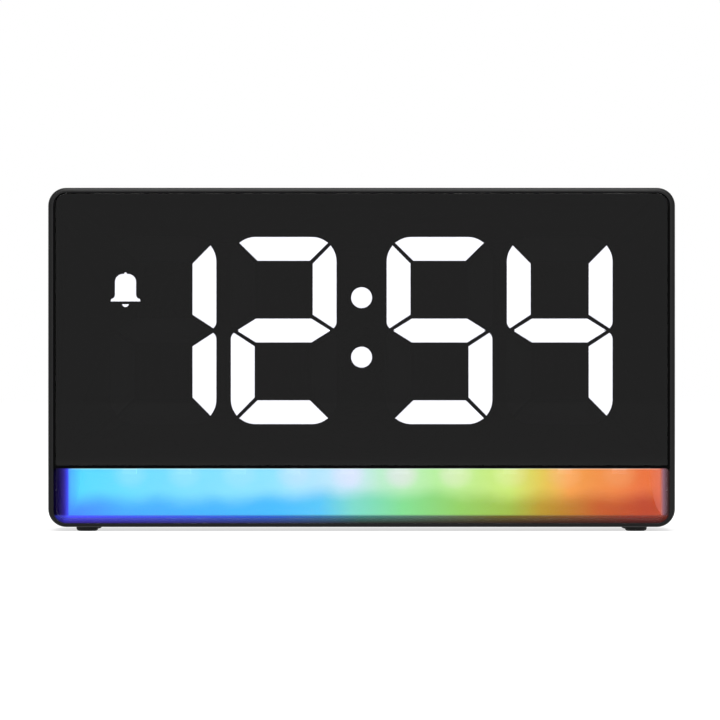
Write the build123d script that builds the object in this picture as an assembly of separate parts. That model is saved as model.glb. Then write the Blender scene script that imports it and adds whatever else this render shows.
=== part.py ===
"""A mood light alarm clock with a dark window, white digits and a glowing bar.

Millimetres. X runs to the right as seen from the front, Y runs from the front to the rear, and
Z is up. The origin is the centre of the footprint, on the surface that the feet stand on.
"""
import os
from math import atan2, cos, degrees, hypot, sin, sqrt

from build123d import *

# Body
body_width = 160.0
body_height = 86.6
body_depth = 42.0
body_corner_radius = 4.6
wall = 2.0
rim_side = 1.3
rim_top = 1.2
rim_bottom = 0.9
front_edge_radius = 0.8
rear_edge_radius = 0.6
least_radius = 0.5

# Clearances
assembly_gap = 0.2
moving_gap = 0.3
running_gap = 0.08
overrun = 1.0
plane_tolerance = 0.001

# Feet
foot_diameter = 5.6
foot_height = 1.1
foot_seat_depth = 0.5
foot_edge_radius = 0.8
foot_inset_x = 9.8
foot_inset_y = 7.0

# Front window
window_recess = 0.4
window_thickness = 2.0
window_side_gap = 0.5
window_top_gap = 0.15
window_edge_radius = 0.2
film_thickness = 0.25
tape_thickness = 0.25
tape_width = 3.0
ledge_width = 3.5
ledge_thickness = 1.6
nose_gap = 0.1
nose_thickness = 0.55
nose_recess = 0.5

# Digits
digit_margin_x = 14.0
digit_margin_z = 10.8
digit_space = 3.5
colon_half_space = 6.3
digit_stroke = 6.27
digit_corner_radius = 6.4
digit_waist_radius = 2.2
segment_gap = 0.85
waist_inset = 0.9
waist_rise = 3.5
digit_drop = 0.3
cap_border = 0.1
well_border = 0.15
cap_thickness = 1.5
colon_radius = 2.78
colon_spacing = 15.2
colon_rise = 0.8
bell_inset = 3.9
bell_rise = 4.165
bell_drawn_room = 14.595
bell_base_width = 7.84
bell_body_width = 5.8
bell_shoulder_height = 5.1
bell_dome_radius = 2.25
bell_flare_height = 1.9
bell_lip_height = 1.05
bell_lip_radius = 0.55
bell_knob_width = 1.04
bell_knob_height = 0.42
bell_clapper_radius = 1.06
bell_clapper_gap = 0.45

# Display module
block_margin = 1.8
block_depth = 8.0
board_thickness = 1.6
display_board_side_gap = 1.4
display_board_margin = 3.0
segment_led_length = 1.6
segment_led_width = 1.0
segment_led_height = 0.7
segment_led_spread = 7.0
display_post_radius = 2.4
display_post_inset = 8.8

# Light bar
lens_height = 13.9
lens_thickness = 2.0
lens_recess = 0.4
lens_gap = 0.1
lens_edge_radius = 1.0
scoop_depth = 8.0
scoop_border_left = 2.8
scoop_border_right = 1.0
scoop_border_bottom = 0.6
scoop_draft_run = 3.0
reflector_wall = 1.2
reflector_gap = 0.2
shelf_thickness = 1.2
shelf_run = 3.2
ear_offset_x = 45.0
ear_width = 7.0
ear_thickness = 1.5
light_post_radius = 2.7
light_post_rise = 0.7
light_post_length = 4.2
mood_board_thickness = 1.2
mood_board_side_gap = 4.0
mood_led_count = 10
mood_led_margin_left = 15.6
mood_led_margin_right = 10.8
mood_led_length = 3.5
mood_led_width = 2.8
mood_led_height = 1.5

# Rear cover
cover_recess = 1.2
cover_thickness = 2.0
cover_stop_width = 1.2
cover_stop_depth = 1.5
case_post_radius = 3.2
case_post_inset_x = 6.4
case_post_inset_z = 6.0
case_post_length = 22.0
case_rib_thickness = 2.0
screw_cup_radius = 4.4
screw_cup_depth = 1.2

# Screws
case_screw_radius = 1.5
case_screw_head_radius = 2.7
case_screw_head_height = 1.7
case_screw_grip = 8.0
small_screw_radius = 0.9
small_screw_head_radius = 1.8
small_screw_head_height = 1.3
small_screw_grip = 3.5
screw_recess_width = 0.6
screw_recess_depth = 0.7

# Main board
main_board_side_gap = 12.4
main_board_top_drop = 7.7
main_board_bottom_rise = 18.9
pillar_length = 8.8
pillar_radius = 3.0
pillar_inset = 4.0

# Rear keys
key_radius = 4.0
key_pitch = 15.0
key_row_share = 0.713
key_proud = 0.9
key_edge_radius = 0.4
key_flange_width = 1.2
key_flange_thickness = 1.2
key_stem_radius = 2.2
key_travel = 0.5
key_mark_length = 4.0
key_mark_width = 0.8
key_mark_depth = 0.25

# Switches
switch_width = 6.0
switch_height = 3.5
plunger_radius = 1.75
plunger_proud = 0.8
plunger_sunk = 0.6

# Snooze key
snooze_length = 64.0
snooze_width = 16.0
snooze_corner_radius = 3.0
snooze_centre_y = 5.6
snooze_flange_width = 1.2
snooze_flange_thickness = 1.2
snooze_wall = 1.5
snooze_post_radius = 2.2
snooze_travel = 0.8
snooze_switch_width = 6.4
snooze_switch_depth = 3.6
snooze_switch_height = 4.0
snooze_plunger_radius = 1.4
snooze_plunger_proud = 1.2

# Alarm switch
slide_inset_x = 24.5
slide_row_share = 0.4915
slide_travel = 3.0
slide_body_length = 9.0
slide_body_width = 4.6
slide_nub_length = 1.6
slide_nub_width = 1.4
slide_nub_sunk = 0.7
slide_grip_length = 3.6
slide_grip_width = 4.4
slide_grip_groove = 0.5
groove_shares = (-0.5, 0.0, 0.5)
slide_plate_length = 11.0
slide_plate_width = 7.0
slide_stem_length = 3.0
slide_stem_width = 3.0

# Back-up battery
cell_radius = 10.0
cell_thickness = 3.2
cell_edge_radius = 0.3
cell_inset_x = 20.0
cell_row_share = 0.4044
door_width = 26.0
door_height = 27.0
door_thickness = 1.6
door_sunk = 0.2
door_corner_radius = 1.2
door_below_cell = 13.2
hinge_peg_radius = 0.55
hinge_peg_length = 1.0
finger_notch_radius = 4.0
finger_notch_depth = 1.2
pocket_border = 1.6
pocket_floor = 1.2
cell_radial_gap = 0.4
contact_thickness = 0.3
contact_width = 4.0
contact_lift = 1.0
contact_run = 7.0
leaf_shares = (-1.0, -0.5, 0.5)

# Power inlet
socket_inset_x = 14.0
socket_row_share = 0.3269
socket_width = 8.94
socket_height = 3.26
socket_shell_wall = 0.3
socket_sunk = 0.4
socket_base_depth = 3.0
tongue_width = 6.6
tongue_thickness = 0.7
tongue_tip_gap = 0.8

# Parts on the boards
chip_length = 12.8
chip_width = 7.5
chip_height = 2.2
chip_lead_count = 10
chip_lead_pitch = 1.27
chip_lead_width = 0.4
chip_lead_length = 1.3
chip_lead_thickness = 0.3
chip_offset_x = -14.0
chip_drop = 26.0
crystal_radius = 1.0
crystal_length = 6.0
crystal_spacing = 12.0
capacitor_radius = 3.15
capacitor_height = 7.0
capacitor_edge_radius = 0.4
capacitor_inset_x = 22.0
capacitor_pitch = 9.0
capacitor_rise = 14.0
buzzer_radius = 6.0
buzzer_height = 8.0
buzzer_hole_radius = 1.0
buzzer_hole_depth = 2.0
buzzer_rise = 12.0
sound_hole_radius = 0.8
sound_hole_ring_radius = 3.0
sound_hole_count = 6

# Connectors and leads
ribbon_width = 14.0
ribbon_thickness = 0.3
ribbon_inset_x = 38.0
ribbon_straight = 3.0
socket_block_depth = 2.6
socket_block_height = 4.6
socket_block_margin = 1.5
ribbon_board_rise = 12.0
lead_wire_radius = 0.55
lead_wire_pitch = 1.3
lead_wire_count = 4
lead_inset_x = 36.0
lead_bend_radius = 4.0
lead_straight = 0.5
lead_header_height = 2.6
lead_header_depth = 4.4

# Main planes and levels
half_width = body_width / 2
front_y = -body_depth / 2
rear_y = body_depth / 2
bottom_z = foot_height
top_z = foot_height + body_height
inner_half_width = half_width - wall
inner_bottom_z = bottom_z + wall
inner_top_z = top_z - wall
opening_half_width = half_width - rim_side
opening_bottom_z = bottom_z + rim_bottom
opening_top_z = top_z - rim_top

lens_half_width = opening_half_width - lens_gap
lens_bottom_z = opening_bottom_z + lens_gap
lens_top_z = lens_bottom_z + lens_height
lens_front_y = front_y + lens_recess
lens_back_y = lens_front_y + lens_thickness
nose_bottom_z = lens_top_z + nose_gap
nose_top_z = nose_bottom_z + nose_thickness

window_half_width = opening_half_width - window_side_gap
window_bottom_z = nose_top_z + nose_gap
window_top_z = opening_top_z - window_top_gap
window_front_y = front_y + window_recess
window_back_y = window_front_y + window_thickness
film_back_y = window_back_y + film_thickness
ledge_front_y = film_back_y + tape_thickness
ledge_back_y = ledge_front_y + ledge_thickness
ledge_half_width = opening_half_width - ledge_width
ledge_bottom_z = window_bottom_z + ledge_width
ledge_top_z = opening_top_z - ledge_width
digit_centre_z = (window_bottom_z + window_top_z) / 2 - digit_drop
digit_height = window_top_z - window_bottom_z - 2 * digit_margin_z
digit_width = (window_half_width - digit_margin_x - digit_space - colon_half_space) / 2
digit_pitch = digit_width + digit_space
digit_inner_offset = colon_half_space + digit_width / 2
bell_scale = (digit_height / 2 - 3 * digit_stroke / 2) / bell_drawn_room
bell_x = bell_inset - digit_inner_offset - digit_pitch - digit_width / 2
bell_z = digit_centre_z + digit_stroke / 2 + bell_scale * bell_rise

block_back_y = film_back_y + block_depth
block_half_width = digit_inner_offset + digit_pitch + digit_width / 2 + block_margin
block_half_height = digit_height / 2 + block_margin
display_board_back_y = block_back_y + board_thickness
display_board_half_width = inner_half_width - display_board_side_gap
display_board_bottom_z = digit_centre_z - block_half_height - display_board_margin
display_board_top_z = digit_centre_z + block_half_height + display_board_margin

display_post_x = inner_half_width - display_board_side_gap - display_post_radius
light_post_z = inner_bottom_z + light_post_rise + light_post_radius
scoop_outer_x = inner_half_width - reflector_gap
scoop_left_x = scoop_border_left - scoop_outer_x
scoop_right_x = scoop_outer_x - scoop_border_right
first_lamp_x = scoop_left_x + mood_led_margin_left
last_lamp_x = scoop_right_x - mood_led_margin_right
mood_led_pitch = (last_lamp_x - first_lamp_x) / (mood_led_count - 1)
ear_front_y = lens_back_y + scoop_depth + reflector_wall + shelf_run
ear_back_y = ear_front_y + ear_thickness

cover_outer_y = rear_y - cover_recess
cover_inner_y = cover_outer_y - cover_thickness
case_post_end_y = cover_inner_y - screw_cup_depth
case_post_x = inner_half_width - case_post_inset_x
case_post_low_z = inner_bottom_z + case_post_inset_z
case_post_high_z = inner_top_z - case_post_inset_z

main_board_back_y = cover_inner_y - pillar_length
main_board_front_y = main_board_back_y - board_thickness
main_board_half_width = case_post_x - case_post_radius - main_board_side_gap
main_board_top_z = inner_top_z - main_board_top_drop
main_board_bottom_z = inner_bottom_z + main_board_bottom_rise
inner_height = inner_top_z - inner_bottom_z
key_row_z = inner_bottom_z + key_row_share * inner_height
slide_row_z = inner_bottom_z + slide_row_share * inner_height
slide_x = slide_inset_x - main_board_half_width
cell_centre_x = main_board_half_width - cell_inset_x
cell_centre_z = inner_bottom_z + cell_row_share * inner_height
buzzer_z = main_board_bottom_z + buzzer_rise
socket_x = socket_inset_x - main_board_half_width
socket_z = inner_bottom_z + socket_row_share * inner_height
capacitor_x = main_board_half_width - capacitor_inset_x
ribbon_x = main_board_half_width - ribbon_inset_x
lead_x = lead_inset_x - main_board_half_width

door_top_z = cell_centre_z - door_below_cell + door_height
door_bottom_z = cell_centre_z - door_below_cell
door_outer_y = cover_outer_y - door_sunk
door_inner_y = door_outer_y - door_thickness
hinge_y = (door_outer_y + door_inner_y) / 2
hinge_z = door_top_z - door_thickness / 2
door_seat_y = door_inner_y - moving_gap
cell_back_y = door_seat_y
cell_front_y = cell_back_y - cell_thickness
pocket_floor_y = cell_front_y - contact_lift
pocket_front_y = pocket_floor_y - pocket_floor
well_radius = cell_radius + cell_radial_gap
peg_reach = door_width / 2 + moving_gap + hinge_peg_length
positive_x = cell_centre_x - cell_radius - contact_thickness
negative_x = cell_centre_x + contact_run

snooze_switch_y = main_board_back_y + snooze_switch_depth / 2
snooze_tip_z = main_board_top_z + snooze_plunger_proud
ribbon_top_z = main_board_bottom_z + ribbon_board_rise
lead_level_z = lens_top_z + mood_board_thickness + lead_header_height / 2
lead_start_y = ear_front_y
lead_end_y = main_board_front_y - lead_header_height / 2
lead_end_z = lead_level_z + lead_bend_radius + lead_straight


# Helpers

def block(x0, x1, y0, y1, z0, z1):
    """A rectangular block between two corners."""
    middle = Pos((x0 + x1) / 2, (y0 + y1) / 2, (z0 + z1) / 2)
    return middle * Box(x1 - x0, y1 - y0, z1 - z0)


def rod_x(y, z, radius, x0, x1):
    """A round rod along X."""
    return Pos((x0 + x1) / 2, y, z) * Rot(0, 90, 0) * Cylinder(radius, x1 - x0)


def rod_y(x, z, radius, y0, y1):
    """A round rod along Y."""
    return Pos(x, (y0 + y1) / 2, z) * Rot(90, 0, 0) * Cylinder(radius, y1 - y0)


def rod_z(x, y, radius, z0, z1):
    """A round rod along Z."""
    return Pos(x, y, (z0 + z1) / 2) * Cylinder(radius, z1 - z0)


def prism_y(outline, y0, y1):
    """An outline drawn in X and Z, as a solid from y0 to y1."""
    return extrude(Plane((0, y1, 0), x_dir=(1, 0, 0), z_dir=(0, -1, 0)) * outline, amount=y1 - y0)


def prism_x(outline, x0, x1):
    """An outline drawn in Y and Z, as a solid from x0 to x1."""
    return extrude(Plane((x0, 0, 0), x_dir=(0, 1, 0), z_dir=(1, 0, 0)) * outline, amount=x1 - x0)


def prism_z(outline, z0, z1):
    """An outline drawn in X and Y, as a solid from z0 to z1."""
    return extrude(Plane((0, 0, z0)) * outline, amount=z1 - z0)


def rectangle(x0, x1, z0, z1):
    """A rectangle between two corners, in the plane of an outline."""
    return Pos((x0 + x1) / 2, (z0 + z1) / 2) * Rectangle(x1 - x0, z1 - z0)


def rounded(x0, x1, z0, z1, radius):
    """A rectangle with four round corners."""
    return Pos((x0 + x1) / 2, (z0 + z1) / 2) * RectangleRounded(x1 - x0, z1 - z0, radius)


def half_rounded(x0, x1, z0, z1, radius, round_top):
    """A rectangle with two round corners, at its top or at its bottom."""
    middle = (z0 + z1) / 2
    square = rectangle(x0, x1, z0, middle) if round_top else rectangle(x0, x1, middle, z1)
    return rounded(x0, x1, z0, z1, radius) + square


def corner_radius(inset):
    """The radius of a corner that lies inside the body's corner by an inset."""
    return max(body_corner_radius - inset, least_radius)


def edges_at_y(solid, y):
    """The edges that lie in the plane at y."""
    return solid.edges().filter_by_position(Axis.Y, y - plane_tolerance, y + plane_tolerance)


def edges_at_z(solid, z):
    """The edges that lie in the plane at z."""
    return solid.edges().filter_by_position(Axis.Z, z - plane_tolerance, z + plane_tolerance)


def corner_points(half_x, low_z, high_z):
    """The four corner places of a set of posts or screws."""
    return [(side * half_x, z) for side in (-1, 1) for z in (low_z, high_z)]


def post_places():
    """The places of the posts of the case screws."""
    return corner_points(case_post_x, case_post_low_z, case_post_high_z)


def display_post_places():
    """The places of the posts of the display board."""
    return corner_points(display_post_x, display_board_bottom_z + display_post_inset,
                         display_board_top_z - display_post_inset)


def ear_places():
    """The places of the two screw ears of the light bar."""
    return [(-ear_offset_x, light_post_z), (ear_offset_x, light_post_z)]


def pillar_places():
    """The places of the pillars of the main board."""
    return corner_points(main_board_half_width - pillar_inset,
                         main_board_bottom_z + pillar_inset, main_board_top_z - pillar_inset)



# Screws

def screw(grip, radius, head_radius, head_height):
    """A pan head screw along Y, its head's seat at zero and its shank towards the front."""
    head = rod_y(0, 0, head_radius, 0, head_height)
    head = fillet(edges_at_y(head, head_height), radius=head_height / 2)
    arm = head_radius / 2
    half = screw_recess_width / 2
    slot = block(-arm, arm, head_height - screw_recess_depth, head_height + overrun, -half, half)
    cross = block(-half, half, head_height - screw_recess_depth, head_height + overrun, -arm, arm)
    shank = rod_y(0, 0, radius, -grip, 0)
    return head + shank - slot - cross


def small_screws(places, seat_y):
    """Small screws whose heads seat on a board's rear face."""
    one = screw(small_screw_grip, small_screw_radius, small_screw_head_radius, small_screw_head_height)
    return [Pos(x, seat_y, z) * one for x, z in places]


# Housing

def inset_outline(inset):
    """The body's outline, drawn in by an inset."""
    return rounded(-half_width + inset, half_width - inset, bottom_z + inset, top_z - inset,
                   corner_radius(inset))


def housing_shell():
    """The sleeve with its front openings, its ledge and the nose between window and light bar."""
    sleeve = prism_y(inset_outline(0), front_y, rear_y)
    sleeve = fillet(edges_at_y(sleeve, front_y), radius=min(front_edge_radius, rim_bottom - nose_gap))
    sleeve = fillet(edges_at_y(sleeve, rear_y), radius=rear_edge_radius)
    rim = corner_radius(rim_side)
    front = rounded(-opening_half_width, opening_half_width, opening_bottom_z, opening_top_z, rim)
    above = rectangle(-half_width, half_width, nose_top_z, top_z)
    below = rectangle(-half_width, half_width, bottom_z, nose_bottom_z)
    sleeve -= prism_y(front & above, front_y - overrun, ledge_front_y)
    sleeve -= prism_y(front & below, front_y - overrun, lens_back_y)
    nose = rectangle(-opening_half_width, opening_half_width, nose_bottom_z, nose_top_z)
    sleeve -= prism_y(nose, front_y - overrun, window_front_y + nose_recess)
    inside = inset_outline(wall)
    sleeve -= prism_y(inside, ledge_back_y, rear_y + overrun)
    sleeve -= prism_y(inside & below, lens_back_y, ledge_back_y)
    view = rounded(-ledge_half_width, ledge_half_width, ledge_bottom_z, ledge_top_z, least_radius)
    return sleeve - prism_y(view, ledge_front_y, ledge_back_y)


def cover_stop():
    """The narrow step inside the sleeve that the rear cover rests on."""
    outer = inset_outline(wall / 2)
    inner = inset_outline(wall + cover_stop_width)
    return prism_y(outer - inner, cover_inner_y - cover_stop_depth, cover_inner_y)


def case_posts():
    """The four posts that take the case screws, each on a rib to its side wall."""
    posts = []
    for x, z in post_places():
        side = 1 if x > 0 else -1
        start_y = case_post_end_y - case_post_length
        posts.append(rod_y(x, z, case_post_radius, start_y, case_post_end_y))
        reach = sorted((x, side * (half_width - wall / 2)))
        half = case_rib_thickness / 2
        posts.append(block(reach[0], reach[1], start_y, case_post_end_y, z - half, z + half))
    return posts


def display_posts():
    """The four posts behind the ledge that the display board is screwed to."""
    posts = []
    for x, z in display_post_places():
        side = 1 if x > 0 else -1
        posts.append(rod_y(x, z, display_post_radius, ledge_front_y + ledge_thickness / 2, block_back_y))
        reach = sorted((x, side * (half_width - wall / 2)))
        half = display_post_radius / 2
        posts.append(block(reach[0], reach[1], ledge_back_y - ledge_thickness / 2, block_back_y,
                           z - half, z + half))
    return posts


def light_posts():
    """The two low posts on the floor that the reflector's ears are screwed to."""
    posts = []
    for side in (-1, 1):
        x = side * ear_offset_x
        start_y = ear_front_y - light_post_length
        posts.append(rod_y(x, light_post_z, light_post_radius, start_y, ear_front_y))
        posts.append(block(x - light_post_radius, x + light_post_radius, start_y, ear_front_y,
                           bottom_z + wall / 2, light_post_z))
    return posts


def housing():
    """The one-piece sleeve with all its posts, screw holes, foot seats and the snooze opening."""
    body = housing_shell() + cover_stop() + case_posts() + display_posts() + light_posts()
    for x, z in post_places():
        body -= rod_y(x, z, case_screw_radius, case_post_end_y - case_screw_grip - overrun, case_post_end_y)
    for x, z in display_post_places():
        body -= rod_y(x, z, small_screw_radius, block_back_y - small_screw_grip, block_back_y)
    for x, z in ear_places():
        body -= rod_y(x, z, small_screw_radius, ear_front_y - small_screw_grip, ear_front_y)
    for x, y in foot_places():
        body -= rod_z(x, y, foot_diameter / 2, bottom_z - overrun, bottom_z + foot_seat_depth)
    return body - prism_z(snooze_outline(moving_gap), inner_top_z - overrun, top_z + overrun)


def foot_places():
    """The four corners of the rectangle that the feet stand on."""
    half_x, half_y = half_width - foot_inset_x, rear_y - foot_inset_y
    return [(sx * half_x, sy * half_y) for sx in (-1, 1) for sy in (-1, 1)]


def feet():
    """Four rubber feet, set in shallow seats under the housing."""
    made = []
    for x, y in foot_places():
        foot = rod_z(x, y, foot_diameter / 2, 0, bottom_z + foot_seat_depth)
        made.append(fillet(edges_at_z(foot, 0), radius=foot_edge_radius))
    return made


# Front window

def window_outline():
    """The window's outline, round at its two top corners."""
    return half_rounded(-window_half_width, window_half_width, window_bottom_z, window_top_z,
                        corner_radius(rim_side + window_side_gap), True)


def display_window():
    """The smoked plate over the display."""
    plate = prism_y(window_outline(), window_front_y, window_back_y)
    return fillet(edges_at_y(plate, window_front_y), radius=window_edge_radius)


def mask_film():
    """The black film behind the window, open where the segments shine through."""
    film = prism_y(window_outline(), window_back_y, film_back_y)
    openings = light_openings(0)
    return film - [prism_y(outline, window_back_y, film_back_y) for outline in openings]


def window_tape():
    """The adhesive frame between the film and the ledge."""
    inset = ledge_width - tape_width
    hole = rectangle(-ledge_half_width - inset, ledge_half_width + inset,
                     ledge_bottom_z - inset, ledge_top_z + inset)
    return prism_y(window_outline() - hole, film_back_y, ledge_front_y)


# Digits

def strip(start, end, width):
    """A straight strip between two points, running a little past both."""
    across, up = end[0] - start[0], end[1] - start[1]
    middle = Pos((start[0] + end[0]) / 2, (start[1] + end[1]) / 2)
    length = hypot(across, up) + 2 * overrun
    return middle * Rot(0, 0, degrees(atan2(up, across))) * Rectangle(length, width)


def digit_outlines(centre_x, border, bell_instead=False):
    """The seven segments of one digit, each widened by a border.

    The bell takes the place of the upper left segment in the digit that has one.
    """
    half_x = digit_width / 2
    half_z = digit_height / 2
    wide, tall = half_x + border, half_z + border
    whole = rounded(-wide, wide, -tall, tall, digit_corner_radius + border)
    figure = whole & rounded(-wide, wide, 0, 2 * tall, digit_waist_radius)
    figure += whole & rounded(-wide, wide, -2 * tall, 0, digit_waist_radius)
    hole_x = half_x - digit_stroke - border
    hole_low = digit_stroke / 2 + border
    hole_high = half_z - digit_stroke - border
    for side in (-1, 1):
        low, high = sorted((side * hole_low, side * hole_high))
        figure -= rectangle(-hole_x, hole_x, low, high)
    for sx in (-1, 1):
        for sz in (-1, 1):
            inner_x = sx * (half_x - digit_stroke)
            corner = strip((sx * half_x, sz * half_z), (inner_x, sz * (half_z - digit_stroke)),
                           segment_gap - 2 * border)
            waist = strip((sx * (half_x - waist_inset), 0), (inner_x, sz * waist_rise),
                          segment_gap - 2 * border)
            figure -= corner
            figure -= waist
    kept = []
    for face in figure.faces():
        centre = face.center()
        upper_left = centre.X < -half_x / 2 and centre.Y > half_z / 4
        if not (bell_instead and upper_left):
            kept.append(Pos(centre_x, digit_centre_z) * face)
    return kept


def digit_centres():
    """The digits' middles, from the tens of hours to the ones of minutes."""
    outer = digit_inner_offset + digit_pitch
    return [-outer, -digit_inner_offset, digit_inner_offset, outer]


def colon_outlines(border):
    """The two round dots between hours and minutes."""
    middle = digit_centre_z + colon_rise
    return [Pos(0, middle + side * colon_spacing / 2) * Circle(colon_radius + border) for side in (-1, 1)]


def bell_side(sign):
    """One side of the bell's body: its base, lip, flare, straight side and round shoulder."""
    half_base, half_body = sign * bell_base_width / 2, sign * bell_body_width / 2
    lip_corner = (half_base - sign * bell_lip_radius, bell_lip_height)
    lip_side = (half_base, bell_lip_height - bell_lip_radius)
    flare_top, shoulder = (half_body, bell_flare_height), (half_body, bell_shoulder_height)
    crown_end = (half_body - sign * bell_dome_radius, bell_shoulder_height + bell_dome_radius)
    return [Line((0, 0), (half_base, 0)), Line((half_base, 0), lip_side),
            TangentArc(lip_side, lip_corner, tangent=(0, 1)),
            TangentArc(flare_top, lip_corner, tangent=(0, -1)), Line(flare_top, shoulder),
            TangentArc(shoulder, crown_end, tangent=(0, 1)), Line(crown_end, (0, crown_end[1]))]


def bell_outlines():
    """The bell with the knob on its crown, and the half round clapper under it."""
    half_knob = bell_knob_width / 2
    body = make_face([*bell_side(1), *bell_side(-1)])
    crown = bell_shoulder_height + bell_dome_radius
    knob_z = crown + bell_knob_height - half_knob
    body += Pos(0, knob_z) * Circle(half_knob)
    body += rectangle(-half_knob, half_knob, crown - half_knob, knob_z)
    below = rectangle(-bell_clapper_radius, bell_clapper_radius, -bell_clapper_gap - bell_clapper_radius,
                      -bell_clapper_gap)
    clapper = below & (Pos(0, -bell_clapper_gap) * Circle(bell_clapper_radius))
    return [Pos(bell_x, bell_z) * scale(piece, by=bell_scale) for piece in (body, clapper)]


def light_openings(border):
    """Every outline that lights up on the display."""
    outlines = []
    for number, centre_x in enumerate(digit_centres()):
        outlines += digit_outlines(centre_x, border, number == 0)
    return outlines + colon_outlines(border) + bell_outlines()


def caps(outlines):
    """Diffuser caps that fill the front of their light wells."""
    return [prism_y(outline, film_back_y, film_back_y + cap_thickness) for outline in outlines]


# Display module

def digit_block():
    """The block of light wells behind the digits, the colon and the bell."""
    body = block(-block_half_width, block_half_width, film_back_y, block_back_y,
                 digit_centre_z - block_half_height, digit_centre_z + block_half_height)
    return body - [prism_y(outline, film_back_y, block_back_y) for outline in light_openings(well_border)]


def display_board():
    """The circuit board behind the light wells, on four posts of the housing."""
    board = block(-display_board_half_width, display_board_half_width, block_back_y, display_board_back_y,
                  display_board_bottom_z, display_board_top_z)
    for x, z in display_post_places():
        board -= rod_y(x, z, small_screw_radius + running_gap, block_back_y, display_board_back_y)
    return board


def segment_leds():
    """Small white lamps on the board, two in each segment's well and one in each other well.

    The clapper is too small for a lamp of its own.
    """
    lamps = []
    for outline in light_openings(0)[:-1]:
        box = outline.bounding_box()
        size, centre = box.size, box.center()
        level = size.X > size.Y
        long_way, reach = max(size.X, size.Y), segment_led_spread / 2
        steps = (-reach, reach) if long_way > 2 * segment_led_spread else (0,)
        for step in steps:
            x = centre.X + (step if level else 0)
            z = centre.Y + (0 if level else step)
            half_x = (segment_led_length if level else segment_led_width) / 2
            half_z = (segment_led_width if level else segment_led_length) / 2
            lamps.append(block(x - half_x, x + half_x, block_back_y - segment_led_height, block_back_y,
                               z - half_z, z + half_z))
    return lamps


# Light bar

def light_bar_lens():
    """The translucent bar, its front edge rounded on three sides and cut square at its top."""
    over = lens_top_z + 2 * lens_edge_radius + least_radius
    blank = half_rounded(-lens_half_width, lens_half_width, lens_bottom_z, over,
                         corner_radius(rim_side + lens_gap), False)
    lens = prism_y(blank, lens_front_y, lens_back_y)
    lens = fillet(edges_at_y(lens, lens_front_y), radius=lens_edge_radius)
    keep = block(-half_width, half_width, front_y, rear_y, bottom_z, lens_top_z)
    return lens & keep


def scoop_profile(depth, height, extra):
    """The side view of the scoop: a straight top and front, and an arc down to the front.

    The arc is upright at the top of its back, and extra widens it about its own centre.
    """
    radius = (depth ** 2 + height ** 2) / (2 * depth)
    centre_y = lens_back_y + depth - radius
    wide = radius + extra
    drop = sqrt(wide ** 2 - (radius - depth) ** 2)
    half_turn = atan2(drop, radius - depth) / 2
    back = (centre_y + wide, lens_top_z)
    middle = (centre_y + wide * cos(half_turn), lens_top_z - wide * sin(half_turn))
    low = (lens_back_y, lens_top_z - drop)
    top = (lens_back_y, lens_top_z)
    return make_face([Line(top, back), ThreePointArc(back, middle, low), Line(low, top)])


def scoop_plan(depth, extra):
    """The scoop seen from above, its ends drafted inwards towards the back and moved out by an extra."""
    run = scoop_draft_run * depth / scoop_depth
    left, right = scoop_left_x - extra, scoop_right_x + extra
    points = [(left, lens_back_y), (right, lens_back_y),
              (right - run, lens_back_y + depth), (left + run, lens_back_y + depth)]
    return make_face(Polyline(*points, close=True))


def light_reflector():
    """The white scoop behind the lens, with a front flange, a rear shelf and two screw ears."""
    bottom = inner_bottom_z + reflector_gap
    height = lens_top_z - bottom - scoop_border_bottom
    back_y = lens_back_y + scoop_depth + reflector_wall
    shell = prism_x(scoop_profile(scoop_depth, height, reflector_wall), -scoop_outer_x, scoop_outer_x)
    plan = scoop_plan(scoop_depth + reflector_wall, reflector_wall)
    shell &= prism_z(plan, bottom, lens_top_z)
    corner = corner_radius(wall + reflector_gap)
    flange = half_rounded(-scoop_outer_x, scoop_outer_x, bottom, lens_top_z, corner, False)
    shell &= prism_y(flange, lens_back_y, back_y)
    body = shell + prism_y(flange, lens_back_y, lens_back_y + reflector_wall)
    half_shelf = inner_half_width - mood_board_side_gap
    body += block(-half_shelf, half_shelf, back_y - reflector_wall, ear_back_y,
                  lens_top_z - shelf_thickness, lens_top_z)
    for side in (-1, 1):
        x = side * ear_offset_x
        body += block(x - ear_width / 2, x + ear_width / 2, ear_front_y, ear_back_y, bottom, lens_top_z)
    cavity = prism_x(scoop_profile(scoop_depth, height, 0), scoop_left_x, scoop_right_x)
    cavity &= prism_z(scoop_plan(scoop_depth, 0), bottom, lens_top_z)
    body -= cavity
    for x, z in ear_places():
        body -= rod_y(x, z, small_screw_radius + running_gap, ear_front_y, ear_back_y)
    return body


def mood_led_board():
    """The narrow board that lies on the scoop and looks down into it."""
    half = inner_half_width - mood_board_side_gap
    return block(-half, half, ledge_back_y + assembly_gap, ear_front_y,
                 lens_top_z, lens_top_z + mood_board_thickness)


def mood_leds():
    """The row of colour lamps under the board, along the top of the scoop."""
    lamps = []
    y = lens_back_y + scoop_depth / 2
    for number in range(mood_led_count):
        x = first_lamp_x + number * mood_led_pitch
        lamps.append(block(x - mood_led_length / 2, x + mood_led_length / 2,
                           y - mood_led_width / 2, y + mood_led_width / 2,
                           lens_top_z - mood_led_height, lens_top_z))
    return lamps


# Rear cover

def key_places():
    """The rear keys and their X places, from the right as seen from behind."""
    names = ("light", "minus", "plus", "alarm", "time")
    return {name: (number - (len(names) - 1) / 2) * key_pitch for number, name in enumerate(names)}


def socket_outline(border):
    """The power inlet's outline with round ends, widened by a border."""
    return Pos(socket_x, socket_z) * SlotOverall(socket_width + 2 * border, socket_height + 2 * border)


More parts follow.
